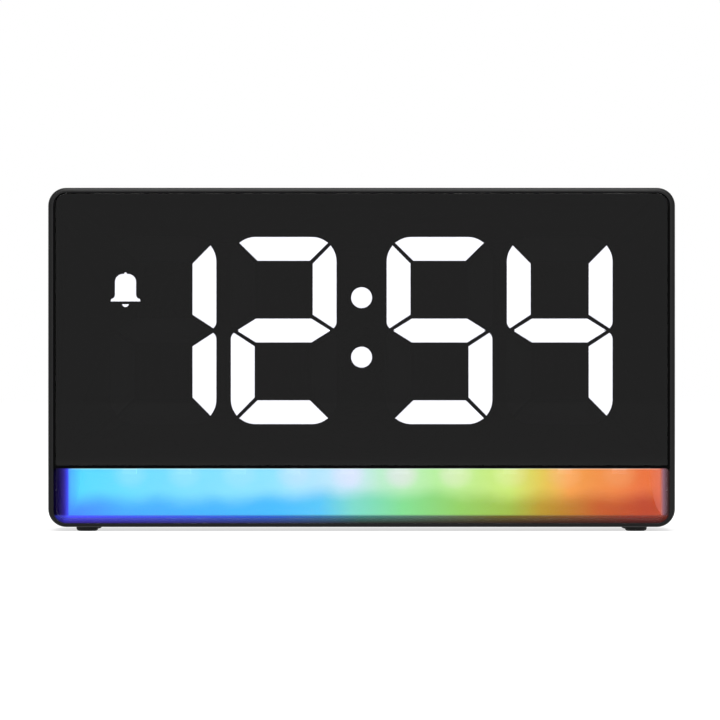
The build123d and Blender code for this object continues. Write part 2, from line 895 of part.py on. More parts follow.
def cover_plate():
    """The rear plate with its screw cups and the pillars of the main board."""
    plate = prism_y(inset_outline(wall + assembly_gap), cover_inner_y, cover_outer_y)
    for x, z in post_places():
        plate += rod_y(x, z, screw_cup_radius, case_post_end_y, cover_outer_y)
    for x, z in pillar_places():
        plate += rod_y(x, z, pillar_radius, main_board_back_y, cover_inner_y)
    border = moving_gap + pocket_border
    half = door_width / 2 + border
    return plate + block(cell_centre_x - half, cell_centre_x + half, pocket_front_y, cover_inner_y,
                         door_bottom_z - border, door_top_z + border)


def cover_screw_holes():
    """The counterbored case screw holes and the blind holes in the pillars."""
    holes = []
    for x, z in post_places():
        seat_y = cover_outer_y - case_screw_head_height
        holes.append(rod_y(x, z, case_screw_radius + running_gap, case_post_end_y - overrun, cover_outer_y))
        holes.append(rod_y(x, z, case_screw_head_radius + assembly_gap, seat_y, cover_outer_y + overrun))
    for x, z in pillar_places():
        holes.append(rod_y(x, z, small_screw_radius, main_board_back_y, main_board_back_y + small_screw_grip))
    return holes


def cover_battery_cuts():
    """The door's recess with its peg holes and finger notch, the cell's well and the contact slots."""
    half = door_width / 2 + moving_gap
    outside = cover_outer_y + overrun
    notch_floor_y = cover_outer_y - finger_notch_depth
    slot_z = contact_width / 2 + assembly_gap
    low_z, high_z = cell_centre_z - slot_z, cell_centre_z + slot_z
    slot = contact_thickness + assembly_gap
    return [block(cell_centre_x - half, cell_centre_x + half, door_seat_y, outside,
                  door_bottom_z - moving_gap, door_top_z + moving_gap),
            rod_x(hinge_y, hinge_z, hinge_peg_radius + running_gap,
                  cell_centre_x - peg_reach - moving_gap, cell_centre_x + peg_reach + moving_gap),
            rod_y(cell_centre_x, door_bottom_z, finger_notch_radius, notch_floor_y, outside),
            rod_y(cell_centre_x, cell_centre_z, well_radius, pocket_floor_y, door_seat_y),
            block(positive_x - assembly_gap, positive_x + slot, pocket_front_y, door_seat_y,
                  low_z, high_z),
            block(negative_x - assembly_gap, negative_x + slot, pocket_front_y, pocket_floor_y,
                  low_z, high_z)]


def cover_openings():
    """The holes of the keys, the alarm switch, the power inlet and the buzzer."""
    outside = cover_outer_y + overrun
    hole_radius = key_radius + moving_gap
    cuts = [rod_y(x, key_row_z, hole_radius, cover_inner_y, outside) for x in key_places().values()]
    reach = slide_grip_length / 2 + moving_gap
    half_z = slide_grip_width / 2 + moving_gap
    cuts.append(block(slide_x - reach, slide_x + slide_travel + reach, cover_inner_y, outside,
                      slide_row_z - half_z, slide_row_z + half_z))
    cuts.append(prism_y(socket_outline(assembly_gap), cover_inner_y, outside))
    cuts.append(rod_y(0, buzzer_z, sound_hole_radius, cover_inner_y, outside))
    for place in PolarLocations(sound_hole_ring_radius, sound_hole_count):
        x, z = place.position.X, buzzer_z + place.position.Y
        cuts.append(rod_y(x, z, sound_hole_radius, cover_inner_y, outside))
    return cuts


def rear_cover():
    """The plate that closes the rear and carries the main board, the keys and the battery."""
    return cover_plate() - cover_screw_holes() - cover_battery_cuts() - cover_openings()


def case_screws():
    """The four screws that hold the rear cover in the housing."""
    one = screw(case_screw_grip, case_screw_radius, case_screw_head_radius, case_screw_head_height)
    seat_y = cover_outer_y - case_screw_head_height
    return [Pos(x, seat_y, z) * one for x, z in post_places()]


# Back-up battery

def battery_door():
    """The door over the cell, round at its hinged top edge and with a peg at each end."""
    half = door_width / 2
    low = half_rounded(cell_centre_x - half, cell_centre_x + half, door_bottom_z, hinge_z,
                       door_corner_radius, False)
    door = prism_y(low, door_inner_y, door_outer_y)
    door += rod_x(hinge_y, hinge_z, door_thickness / 2, cell_centre_x - half, cell_centre_x + half)
    return door + rod_x(hinge_y, hinge_z, hinge_peg_radius,
                        cell_centre_x - peg_reach, cell_centre_x + peg_reach)


def coin_cell():
    """The flat round cell in its well."""
    cell = rod_y(cell_centre_x, cell_centre_z, cell_radius, cell_front_y, cell_back_y)
    return fillet(edges_at_y(cell, cell_back_y), radius=cell_edge_radius)


def battery_contact_positive():
    """The strip that touches the cell's rim and stands on the main board."""
    low_z, high_z = cell_centre_z - contact_width / 2, cell_centre_z + contact_width / 2
    strip_up = block(positive_x, positive_x + contact_thickness, main_board_back_y,
                     cell_back_y - contact_thickness, low_z, high_z)
    foot = block(positive_x, positive_x + contact_width / 2, main_board_back_y,
                 main_board_back_y + contact_thickness, low_z, high_z)
    return strip_up + foot


def battery_contact_negative():
    """The bent leaf under the cell, with a leg that stands on the main board."""
    low_z, high_z = cell_centre_z - contact_width / 2, cell_centre_z + contact_width / 2
    tip, start, bend = (cell_centre_x + share * contact_run for share in leaf_shares)
    low_y, high_y = pocket_floor_y, cell_front_y - contact_thickness
    thick = contact_thickness
    leaf = [(bend, low_y), (bend, low_y + thick), (start + thick, high_y + thick),
            (tip, high_y + thick), (tip, high_y), (start, high_y)]
    body = prism_z(make_face(Polyline(*leaf, close=True)), low_z, high_z)
    body += block(bend - thick, negative_x + thick, low_y, low_y + thick, low_z, high_z)
    body += block(negative_x, negative_x + thick, main_board_back_y, low_y + thick, low_z, high_z)
    return body + block(negative_x, negative_x + contact_width / 2, main_board_back_y,
                        main_board_back_y + thick, low_z, high_z)


# Power inlet

def power_socket_shell():
    """The bright shell of the power inlet, standing on the main board."""
    ring = socket_outline(0) - socket_outline(-socket_shell_wall)
    return prism_y(ring, main_board_back_y, cover_outer_y - socket_sunk)


def power_socket_base():
    """The moulded base at the bottom of the inlet."""
    plug = socket_outline(-socket_shell_wall - running_gap)
    return prism_y(plug, main_board_back_y, main_board_back_y + socket_base_depth)


def power_socket_tongue():
    """The flat contact tongue in the middle of the inlet."""
    half_x, half_z = tongue_width / 2, tongue_thickness / 2
    return block(socket_x - half_x, socket_x + half_x, main_board_back_y + socket_base_depth,
                 cover_outer_y - socket_sunk - tongue_tip_gap, socket_z - half_z, socket_z + half_z)


# Main board and what is on it

def main_board():
    """The board that carries the switches, screwed to the pillars of the rear cover."""
    half = main_board_half_width
    board = block(-half, half, main_board_front_y, main_board_back_y, main_board_bottom_z, main_board_top_z)
    for x, z in pillar_places():
        board -= rod_y(x, z, small_screw_radius + running_gap, main_board_front_y, main_board_back_y)
    return board


def main_board_screws():
    """Screws driven from the front side of the main board into the pillars."""
    one = Rot(0, 0, 180) * screw(small_screw_grip, small_screw_radius, small_screw_head_radius,
                                 small_screw_head_height)
    return [Pos(x, main_board_front_y, z) * one for x, z in pillar_places()]


def key_switches():
    """The five switch bodies behind the rear keys, each with the well of its plunger."""
    bodies = []
    top_y = main_board_back_y + switch_height
    half = switch_width / 2
    well_bottom = top_y - plunger_sunk - key_travel - moving_gap
    for x in key_places().values():
        body = block(x - half, x + half, main_board_back_y, top_y, key_row_z - half, key_row_z + half)
        bodies.append(body - rod_y(x, key_row_z, plunger_radius + running_gap, well_bottom, top_y))
    return bodies


def key_plunger(x):
    """The round plunger of one rear key's switch."""
    top_y = main_board_back_y + switch_height
    return rod_y(x, key_row_z, plunger_radius, top_y - plunger_sunk, top_y + plunger_proud)


def key_mark(name, x):
    """The shallow sign sunk into a key's face: a plus, a minus or nothing."""
    face_y = cover_outer_y + key_proud
    long_half, half = key_mark_length / 2, key_mark_width / 2
    level = block(x - long_half, x + long_half, face_y - key_mark_depth, face_y + overrun,
                  key_row_z - half, key_row_z + half)
    upright = block(x - half, x + half, face_y - key_mark_depth, face_y + overrun,
                    key_row_z - long_half, key_row_z + long_half)
    return {"plus": [level, upright], "minus": [level]}.get(name, [])


def rear_key(name, x):
    """One rear key: a round cap through the cover, a flange behind it and a stem to its plunger."""
    face_y = cover_outer_y + key_proud
    flange_back = cover_inner_y - moving_gap
    cap = rod_y(x, key_row_z, key_radius, flange_back - key_flange_thickness, face_y)
    cap = fillet(edges_at_y(cap, face_y), radius=key_edge_radius)
    cap += rod_y(x, key_row_z, key_radius + key_flange_width, flange_back - key_flange_thickness, flange_back)
    plunger_tip = main_board_back_y + switch_height + plunger_proud
    cap += rod_y(x, key_row_z, key_stem_radius, plunger_tip, flange_back - key_flange_thickness)
    return cap - key_mark(name, x)


def snooze_switch():
    """The switch at the top edge of the main board, pressed from above."""
    half = snooze_switch_width / 2
    body = block(-half, half, main_board_back_y, main_board_back_y + snooze_switch_depth,
                 main_board_top_z - snooze_switch_height, main_board_top_z)
    well_bottom = main_board_top_z - plunger_sunk - snooze_travel - moving_gap
    return body - rod_z(0, snooze_switch_y, snooze_plunger_radius + running_gap,
                        well_bottom, main_board_top_z)


def snooze_plunger():
    """The plunger that the snooze key's post pushes down."""
    return rod_z(0, snooze_switch_y, snooze_plunger_radius, main_board_top_z - plunger_sunk, snooze_tip_z)


def snooze_outline(border):
    """The snooze key's outline from above, widened by a border."""
    half_x, half_y = snooze_length / 2 + border, snooze_width / 2 + border
    return rounded(-half_x, half_x, snooze_centre_y - half_y, snooze_centre_y + half_y,
                   max(snooze_corner_radius + border, least_radius))


def snooze_key():
    """The wide key flush with the top, its flange under the top wall and a post to its switch."""
    flange_top = inner_top_z - moving_gap
    flange_bottom = flange_top - snooze_flange_thickness
    key = prism_z(snooze_outline(0), flange_bottom, top_z)
    key = fillet(edges_at_z(key, top_z), radius=key_edge_radius)
    key += prism_z(snooze_outline(snooze_flange_width), flange_bottom, flange_top)
    key -= prism_z(snooze_outline(-snooze_wall), flange_bottom, top_z - snooze_wall)
    return key + rod_z(0, snooze_switch_y, snooze_post_radius, snooze_tip_z, top_z - snooze_wall)


def slide_switch():
    """The body of the alarm switch, with the groove that its nub slides in."""
    middle = slide_x + slide_travel / 2
    top_y = main_board_back_y + switch_height
    half_x, half_z = slide_body_length / 2, slide_body_width / 2
    body = block(middle - half_x, middle + half_x, main_board_back_y, top_y,
                 slide_row_z - half_z, slide_row_z + half_z)
    reach = slide_nub_length / 2 + moving_gap
    half_nub = slide_nub_width / 2 + running_gap
    return body - block(slide_x - reach, slide_x + slide_travel + reach,
                        top_y - slide_nub_sunk - moving_gap, top_y,
                        slide_row_z - half_nub, slide_row_z + half_nub)


def alarm_switch_nub():
    """The nub that carries the moving contact of the alarm switch."""
    top_y = main_board_back_y + switch_height
    half_x, half_z = slide_nub_length / 2, slide_nub_width / 2
    return block(slide_x - half_x, slide_x + half_x, top_y - slide_nub_sunk,
                 top_y + plunger_proud, slide_row_z - half_z, slide_row_z + half_z)


def alarm_switch_knob():
    """The finger grip of the alarm switch, with a plate behind the cover and a stem to the nub."""
    face_y = cover_outer_y + key_proud
    plate_back = cover_inner_y - moving_gap
    plate_front = plate_back - key_flange_thickness
    half_x, half_z = slide_grip_length / 2, slide_grip_width / 2
    grip = block(slide_x - half_x, slide_x + half_x, plate_front, face_y,
                 slide_row_z - half_z, slide_row_z + half_z)
    groove = slide_grip_groove / 2
    for share in groove_shares:
        x = slide_x + share * half_x
        grip -= block(x - groove, x + groove, face_y - slide_grip_groove, face_y + overrun,
                      slide_row_z - half_z, slide_row_z + half_z)
    half_x, half_z = slide_plate_length / 2, slide_plate_width / 2
    grip += block(slide_x - half_x, slide_x + half_x, plate_front, plate_back,
                  slide_row_z - half_z, slide_row_z + half_z)
    tip_y = main_board_back_y + switch_height + plunger_proud
    half_x, half_z = slide_stem_length / 2, slide_stem_width / 2
    return grip + block(slide_x - half_x, slide_x + half_x, tip_y, plate_front,
                        slide_row_z - half_z, slide_row_z + half_z)


def controller_chip():
    """The controller on the front side of the main board, with a row of leads on each long side."""
    z = main_board_top_z - chip_drop
    half_x, half_z = chip_length / 2, chip_width / 2
    chip = block(chip_offset_x - half_x, chip_offset_x + half_x, main_board_front_y - chip_height,
                 main_board_front_y, z - half_z, z + half_z)
    for number in range(chip_lead_count):
        x = chip_offset_x + (number - (chip_lead_count - 1) / 2) * chip_lead_pitch
        chip += block(x - chip_lead_width / 2, x + chip_lead_width / 2,
                      main_board_front_y - chip_lead_thickness, main_board_front_y,
                      z - half_z - chip_lead_length, z + half_z + chip_lead_length)
    return chip


def clock_crystal():
    """The small round crystal that lies beside the controller."""
    x = chip_offset_x + crystal_spacing
    z = main_board_top_z - chip_drop
    return rod_x(main_board_front_y - crystal_radius, z, crystal_radius, x, x + crystal_length)


def smoothing_capacitors():
    """Two upright capacitors on the front side of the main board."""
    made = []
    for step in (0, 1):
        x = capacitor_x + step * capacitor_pitch
        tip_y = main_board_front_y - capacitor_height
        can = rod_y(x, main_board_bottom_z + capacitor_rise, capacitor_radius, tip_y, main_board_front_y)
        made.append(fillet(edges_at_y(can, tip_y), radius=capacitor_edge_radius))
    return made


def buzzer():
    """The round buzzer behind the sound holes of the cover."""
    end_y = main_board_back_y + buzzer_height
    can = rod_y(0, buzzer_z, buzzer_radius, main_board_back_y, end_y)
    return can - rod_y(0, buzzer_z, buzzer_hole_radius, end_y - buzzer_hole_depth, end_y)


# Connectors and leads

def board_connectors():
    """The sockets of the ribbon and the headers of the lead, on their three boards."""
    half_ribbon = ribbon_width / 2 + socket_block_margin
    half_lead = lead_wire_count * lead_wire_pitch / 2 + lead_wire_radius
    x0, x1 = ribbon_x - half_ribbon, ribbon_x + half_ribbon
    x2, x3 = lead_x - half_lead, lead_x + half_lead
    mood_top_z = lens_top_z + mood_board_thickness
    return [block(x0, x1, display_board_back_y, display_board_back_y + socket_block_depth,
                  ribbon_top_z, ribbon_top_z + socket_block_height),
            block(x0, x1, main_board_front_y - socket_block_depth, main_board_front_y,
                  ribbon_top_z, ribbon_top_z + socket_block_height),
            block(x2, x3, ear_front_y - lead_header_depth, ear_front_y, mood_top_z,
                  mood_top_z + lead_header_height),
            block(x2, x3, main_board_front_y - lead_header_height, main_board_front_y, lead_end_z,
                  lead_end_z + lead_header_depth)]


def ribbon_cable():
    """The flat cable that hangs in a loop between the display board and the main board."""
    left_y = display_board_back_y + socket_block_depth / 2
    right_y = main_board_front_y - socket_block_depth / 2
    radius, middle_y = (right_y - left_y) / 2, (left_y + right_y) / 2
    bend_z = ribbon_top_z - ribbon_straight
    half = ribbon_thickness / 2

    def loop(reach):
        bend = Pos(middle_y, bend_z) * Circle(reach)
        return bend + rectangle(middle_y - reach, middle_y + reach, bend_z, ribbon_top_z)

    below = rectangle(left_y - radius, right_y + radius, bend_z - 2 * radius, ribbon_top_z)
    outline = (loop(radius + half) - loop(radius - half)) & below
    return prism_x(outline, ribbon_x - ribbon_width / 2, ribbon_x + ribbon_width / 2)


def mood_led_lead():
    """The four wires from the colour lamps' board up to the main board."""
    wires = []
    for number in range(lead_wire_count):
        x = lead_x + (number - (lead_wire_count - 1) / 2) * lead_wire_pitch
        route = FilletPolyline((x, lead_start_y, lead_level_z), (x, lead_end_y, lead_level_z),
                               (x, lead_end_y, lead_end_z), radius=lead_bend_radius)
        section = Plane(origin=route @ 0, z_dir=route % 0) * Circle(lead_wire_radius)
        wires.append(sweep(section, path=route))
    return wires


# Every piece by its node's name

def build():
    """Every node of the clock, each a solid or a group of separate solids."""
    tens, ones, minute_tens, minute_ones = digit_centres()
    nodes = {
        "housing": housing(),
        "rear_cover": rear_cover(),
        "case_screws": case_screws(),
        "feet": feet(),
        "display_window": display_window(),
        "mask_film": mask_film(),
        "window_tape": window_tape(),
        "digit_hours_tens": caps(digit_outlines(tens, cap_border, True)),
        "digit_hours_ones": caps(digit_outlines(ones, cap_border)),
        "digit_minutes_tens": caps(digit_outlines(minute_tens, cap_border)),
        "digit_minutes_ones": caps(digit_outlines(minute_ones, cap_border)),
        "colon_dots": caps(colon_outlines(cap_border)),
        "alarm_icon": caps(bell_outlines()),
        "digit_block": digit_block(),
        "display_board": display_board(),
        "display_board_screws": small_screws(display_post_places(), display_board_back_y),
        "segment_leds": segment_leds(),
        "light_bar_lens": light_bar_lens(),
        "light_reflector": light_reflector(),
        "light_bar_screws": small_screws(ear_places(), ear_back_y),
        "mood_led_board": mood_led_board(),
        "mood_leds": mood_leds(),
        "main_board": main_board(),
        "main_board_screws": main_board_screws(),
        "key_switches": key_switches(),
        "snooze_switch": snooze_switch(),
        "snooze_key": snooze_key(),
        "snooze_plunger": snooze_plunger(),
        "slide_switch": slide_switch(),
        "alarm_switch_knob": alarm_switch_knob(),
        "alarm_switch_nub": alarm_switch_nub(),
        "controller_chip": controller_chip(),
        "clock_crystal": clock_crystal(),
        "smoothing_capacitors": smoothing_capacitors(),
        "buzzer": buzzer(),
        "board_connectors": board_connectors(),
        "ribbon_cable": ribbon_cable(),
        "mood_led_lead": mood_led_lead(),
        "battery_door": battery_door(),
        "coin_cell": coin_cell(),
        "battery_contact_positive": battery_contact_positive(),
        "battery_contact_negative": battery_contact_negative(),
        "power_socket_shell": power_socket_shell(),
        "power_socket_base": power_socket_base(),
        "power_socket_tongue": power_socket_tongue(),
    }
    for name, x in key_places().items():
        nodes[name + "_key"] = rear_key(name, x)
        nodes[name + "_key_plunger"] = key_plunger(x)
    return nodes


def write(nodes):
    """One STEP file for each node."""
    os.makedirs("parts", exist_ok=True)
    for name, shape in nodes.items():
        solids = shape if isinstance(shape, list) else [shape]
        pieces = [solid for item in solids for solid in item.solids()]
        whole = pieces[0] if len(pieces) == 1 else Compound(children=pieces)
        whole.label = name
        export_step(whole, "parts/" + name + ".step")


write(build())
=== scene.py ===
"""The looks of a mood light alarm clock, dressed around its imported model.

Metres. The clock faces -Y and its feet stand on z = 0. Lengths whose names end in _MM or _mm are
in millimetres, and names that end in _SHARE are parts of another size.
"""
import math

import bmesh
import bpy
from mathutils import Matrix, Vector


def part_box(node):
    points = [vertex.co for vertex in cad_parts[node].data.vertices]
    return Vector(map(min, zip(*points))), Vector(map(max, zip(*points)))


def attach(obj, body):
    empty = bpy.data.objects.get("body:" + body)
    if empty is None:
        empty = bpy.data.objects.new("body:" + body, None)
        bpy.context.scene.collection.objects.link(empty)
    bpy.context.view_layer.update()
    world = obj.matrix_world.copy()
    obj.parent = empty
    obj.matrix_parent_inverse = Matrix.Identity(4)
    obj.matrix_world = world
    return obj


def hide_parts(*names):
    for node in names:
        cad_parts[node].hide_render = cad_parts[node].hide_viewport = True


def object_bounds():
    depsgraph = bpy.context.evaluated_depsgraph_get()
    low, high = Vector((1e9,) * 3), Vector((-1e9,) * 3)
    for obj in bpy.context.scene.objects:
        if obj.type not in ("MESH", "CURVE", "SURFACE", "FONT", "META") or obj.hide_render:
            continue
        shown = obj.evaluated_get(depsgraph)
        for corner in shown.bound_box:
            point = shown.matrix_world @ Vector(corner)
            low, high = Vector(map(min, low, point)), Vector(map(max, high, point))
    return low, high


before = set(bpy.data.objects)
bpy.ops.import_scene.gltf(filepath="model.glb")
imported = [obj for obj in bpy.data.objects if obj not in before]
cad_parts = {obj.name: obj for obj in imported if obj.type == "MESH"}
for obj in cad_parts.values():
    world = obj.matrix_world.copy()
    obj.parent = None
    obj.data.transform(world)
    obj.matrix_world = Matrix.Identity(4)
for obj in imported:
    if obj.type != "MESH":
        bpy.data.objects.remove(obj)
model_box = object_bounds()

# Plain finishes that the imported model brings, for the feet and for the words on the rear
PLAIN_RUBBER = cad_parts["feet"].material_slots[0].material
PLAIN_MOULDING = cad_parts["digit_block"].material_slots[0].material

MM = 0.001

# The photograph's frame
PHOTO_SIDE = 720
MM_PER_PIXEL = 0.25515
BODY_CENTRE_PIXEL_X = 361.6
BODY_FOOT_PIXEL_Y = 527.05
CAMERA_DISTANCE = 2.0
SENSOR_WIDTH = 36.0

# The row of lamps and the scoop's mouth
LAMP_COUNT = 10
LAMP_LENGTH_MM = 3.5
SCOOP_BORDER_MM = 0.6
SCOOP_CORNER_MM = 2.4

# Colours of the painted glow along the light bar: places are shares of the glow's half length
GLOW_HALF_MM = 75.9
UPPER_STOPS = ((-0.96, "50d8fc"), (-0.7, "70dcfe"), (-0.3, "8ee2fe"), (-0.03, "cae7f8"), (0.06, "bceccc"),
               (0.25, "b8ee9c"), (0.5, "cce870"), (0.6, "e2ca50"), (0.7, "f49e44"), (0.95, "ea7036"))
LOWER_STOPS = ((-0.96, "3c8cfc"), (-0.8, "3ca8fc"), (-0.3, "3cb8fc"), (-0.14, "50c4f4"), (-0.03, "78d8c8"),
               (0.14, "80dc8c"), (0.33, "90cc5c"), (0.5, "9eba40"), (0.6, "b69416"), (0.8, "c25608"),
               (0.95, "ba3e10"))
SPOT_STOPS = ((-0.95, "50d8fc"), (-0.8, "9ee6fe"), (-0.4, "a8e6fe"), (-0.04, "f0e2ff"), (0.14, "ffe1ff"),
              (0.45, "e6fab0"), (0.7, "ffb478"), (0.86, "f8a468"))
NEAR_STOPS = ((-0.95, "4e54fa"), (-0.3, "3060c8"), (0.0, "43807a"), (0.46, "685f2a"), (0.9, "84382e"))
FAR_STOPS = ((-0.95, "3c2888"), (-0.24, "3a3c5c"), (0.0, "363630"), (0.9, "442526"))

# Colours past the ends of the glow: from where to where, and in between
LEFT_END_MM = (74.4, 78.0)
LEFT_END_STOPS = ((0.03, "4e8cfc"), (0.18, "3e48f0"), (0.46, "2c1c8a"), (0.75, "0e0446"), (1.0, "080226"))
RIGHT_END_MM = (76.2, 78.6)
RIGHT_END_STOPS = ((0.0, "d86a54"), (0.38, "8c6270"), (0.8, "4c3436"), (1.0, "382a28"))

# The painted glow in the hollow: a pale band over a deep one, a painted pool of light under each lamp, and a
# painted bright line on top
GLOW_STRENGTH = 1.05
RIPPLE_SIZE_MM, RIPPLE_HEIGHT_MM = 9, 2.2
RISE_FROM_MM, RISE_TO_MM, RISE_HEIGHT_MM = -32, -8, 1.8
FALL_FROM_MM, FALL_TO_MM, FALL_HEIGHT_MM = 22, 32, 1.15
SCALLOP_MM = 0.4
BAND_LOW_SHARE, BAND_HIGH_SHARE = 0.12, 0.56
SPOT_HALF_WIDTH_MM, SPOT_HALF_HEIGHT_MM, SPOT_DROP_MM, SPOT_FORCE = 5.4, 4.6, 1.4, 0.4
TOP_LINE_FROM_MM, TOP_LINE_TO_MM, TOP_LINE_FORCE = 0.45, 0.1, 0.35
TOP_LINE_COLOUR = "f0ffff"

# The hollow's end walls, their painted glow brighter towards the front
END_WALL_REACH_MM, END_WALL_BACK_FORCE, END_WALL_FRONT_FORCE = 8, 0.1, 0.8
LEFT_WALL_COLOUR, RIGHT_WALL_COLOUR = "4494ff", "da6c58"

# The painted glow round the hollow, and a painted dark corner of shade
NEAR_DROP_MM, FAR_DROP_MM = 0.2, 1.7
MOUTH_FADE_ABOVE_MM, MOUTH_FADE_BELOW_MM = 0.45, 0.1
END_BLEND_SHARE = 0.2
DARK_CORNER_WIDTH_MM, DARK_CORNER_HEIGHT_MM = 0.9, 0.6
DARK_CORNER_BLEND = (0.8, 1.2)
FLANGE_EDGE_MM = (-0.02, 0.06)
LENS_EDGE_FORCE = 0.5

# The rear cover's face, sunk into the housing
COVER_RECESS_MM = 1.2

# The dim border of a lit diffuser, most of it behind the film, and how its parts are told apart
LIT_BORDER_MM = 0.21
WELD_MM = 0.001
FRONT_FACING = -0.9
MIDDLE_COLUMN_SHARE, END_ROW_SHARE = 0.3, 0.5

# Small parts
FOOT_RADIUS_MM, FOOT_EDGE_MM, FOOT_RING_DEPTH_MM = 2.8, 0.7, 0.25
FOOT_SIDES, FOOT_STEPS_UP, FOOT_STEPS_IN = 48, 14, 12
FOOT_RING_RADIUS_SHARE, FOOT_RING_OUTSIDE_SHARE, FOOT_RING_INSIDE_SHARE = 0.45, 0.2, 0.05
LAMP_WINDOW_SIDES = 32
LAMP_WINDOW_RADIUS_SHARE, LAMP_WINDOW_DEPTH_SHARE, LAMP_WINDOW_DROP_SHARE = 0.4, 0.2, 0.41
CONTACT_COUNT, CONTACT_PITCH_MM, CONTACT_INSET_MM = 12, 0.5, 1.5
CONTACT_SIZE_MM = (0.26, 2.2, 0.04)
# The felt strips round the window are dark sheets that stand in for shade: painted shade
FELT_THICKNESS_MM, FELT_SLACK_MM, FELT_EDGE_MM = 0.1, 0.03, 0.03
BAR_FELT_DEPTH_MM, GROOVE_FELT_DEPTH_MM, GROOVE_FELT_DROP_MM = 0.4, 0.3, 3.4
MARK_SIZE_MM, MARK_RELIEF_MM, MARK_REACH_MM, OFF_MARK_EXTRA_MM = 2.6, 0.02, 9.5, 3.0

# The stage
FLOOR_HALF_SIDE = 6.0
FLOOR_GRAIN_SIZE = 0.05
FLOOR_NEAR, FLOOR_FAR = 0.1, 1.6
FLOOR_NEAR_GLOW, FLOOR_FAR_GLOW = 0.68, 0.82
WORLD_LIGHT, WORLD_SEEN = 0.55, 1.0
LIGHTS_AIM = Vector((0, 0, 0.04))
CLIP_START, CLIP_END = 0.1, 20.0


# Node trees

def linear(code):
    """A colour of six hexadecimal digits, as the linear values that a shader takes."""
    parts = [int(code[at:at + 2], 16) / 255 for at in (0, 2, 4)]
    return [c / 12.92 if c <= 0.04045 else ((c + 0.055) / 1.055) ** 2.4 for c in parts] + [1.0]


def by_identifier(sockets, identifier):
    """The socket of a node that has this identifier."""
    return next(socket for socket in sockets if socket.identifier == identifier)


class Graph:
    """A node tree that is written one node at a time."""

    def __init__(self, tree):
        self.tree = tree

    def put(self, socket, value):
        """Links a socket to another, or gives it a plain value."""
        if isinstance(value, bpy.types.NodeSocket):
            self.tree.links.new(value, socket)
        else:
            socket.default_value = value

    def add(self, kind, inputs=None, **settings):
        """Adds a node with its settings, and fills its inputs by name or number."""
        made = self.tree.nodes.new(kind)
        for name, value in settings.items():
            setattr(made, name, value)
        for key, value in (inputs or {}).items():
            self.put(made.inputs[key], value)
        return made

    def maths(self, operation, first, second=0.0, clamp=False):
        """One sum of two numbers."""
        made = self.add("ShaderNodeMath", {0: first, 1: second}, operation=operation, use_clamp=clamp)
        return made.outputs[0]

    def chain(self, start, *steps):
        """Several sums, each on the last one's result."""
        for operation, value in steps:
            start = self.maths(operation, start, value)
        return start

    def squares(self, first, second):
        """The sum of two squares."""
        return self.maths("ADD", self.maths("MULTIPLY", first, first), self.maths("MULTIPLY", second, second))

    def spread(self, value, low, high, to_low=0.0, to_high=1.0, smooth=True):
        """A range of values brought to another range, and held at its ends."""
        inputs = {"Value": value, "From Min": low, "From Max": high, "To Min": to_low, "To Max": to_high}
        kind = "SMOOTHSTEP" if smooth else "LINEAR"
        return self.add("ShaderNodeMapRange", inputs, interpolation_type=kind).outputs["Result"]

    def mix(self, factor, first, second, blend="MIX"):
        """Two colours mixed."""
        made = self.add("ShaderNodeMix", data_type="RGBA", blend_type=blend)
        for identifier, value in (("Factor_Float", factor), ("A_Color", first), ("B_Color", second)):
            self.put(by_identifier(made.inputs, identifier), value)
        return by_identifier(made.outputs, "Result_Color")

    def shaded(self, code, share):
        """A colour times a share that changes over the surface."""
        made = self.add("ShaderNodeVectorMath", {0: linear(code)[:3], "Scale": share}, operation="SCALE")
        return made.outputs["Vector"]

    def ramp(self, factor, stops):
        """A colour ramp from (place, colour code) pairs."""
        made = self.add("ShaderNodeValToRGB", {"Fac": factor})
        elements = made.color_ramp.elements
        elements[0].position, elements[1].position = stops[0][0], stops[-1][0]
        elements[0].color, elements[1].color = linear(stops[0][1]), linear(stops[-1][1])
        for place, code in stops[1:-1]:
            elements.new(place).color = linear(code)
        return made.outputs["Color"]

    def noise(self, vector, size, detail=2.0, roughness=0.5):
        """Noise whose patches are about one size across."""
        inputs = {"Vector": vector, "Scale": 1.0 / size, "Detail": detail, "Roughness": roughness}
        return self.add("ShaderNodeTexNoise", inputs).outputs["Fac"]

    def cells(self, vector, size):
        """How far each place lies from the middle of its cell."""
        return self.add("ShaderNodeTexVoronoi", {"Vector": vector, "Scale": 1 / size}).outputs["Distance"]

    def place(self):
        """The Object coordinates of the piece."""
        return self.add("ShaderNodeTexCoord").outputs["Object"]

    def parts(self, vector):
        """The X, Y and Z of a vector."""
        return self.add("ShaderNodeSeparateXYZ", {"Vector": vector}).outputs

    def bump(self, height, distance):
        """A normal from a height."""
        return self.add("ShaderNodeBump", {"Height": height, "Distance": distance}).outputs["Normal"]

    def group(self, tree, inputs):
        """A shared group, placed with its own values."""
        made = self.add("ShaderNodeGroup", node_tree=tree)
        for name, value in inputs.items():
            self.put(made.inputs[name], value)
        return made.outputs


def new_group(name, inputs, outputs):
    """An empty group with named sockets; returns its graph, what comes in and what goes out."""
    tree = bpy.data.node_groups.new(name, "ShaderNodeTree")
    for label, kind in inputs:
        tree.interface.new_socket(label, in_out="INPUT", socket_type=kind)
    for label, kind in outputs:
        tree.interface.new_socket(label, in_out="OUTPUT", socket_type=kind)
    graph = Graph(tree)
    return graph, graph.add("NodeGroupInput").outputs, graph.add("NodeGroupOutput").inputs


def new_material(name, **plain):
    """A material with one Principled BSDF and its plain sockets; returns it, its graph and its shader."""
    material = bpy.data.materials.new(name)
    material.use_nodes = True
    graph = Graph(material.node_tree)
    shader = material.node_tree.nodes["Principled BSDF"]
    for label, value in plain.items():
        shader.inputs[label.replace("_", " ")].default_value = value
    return material, graph, shader.inputs


# Shared effects

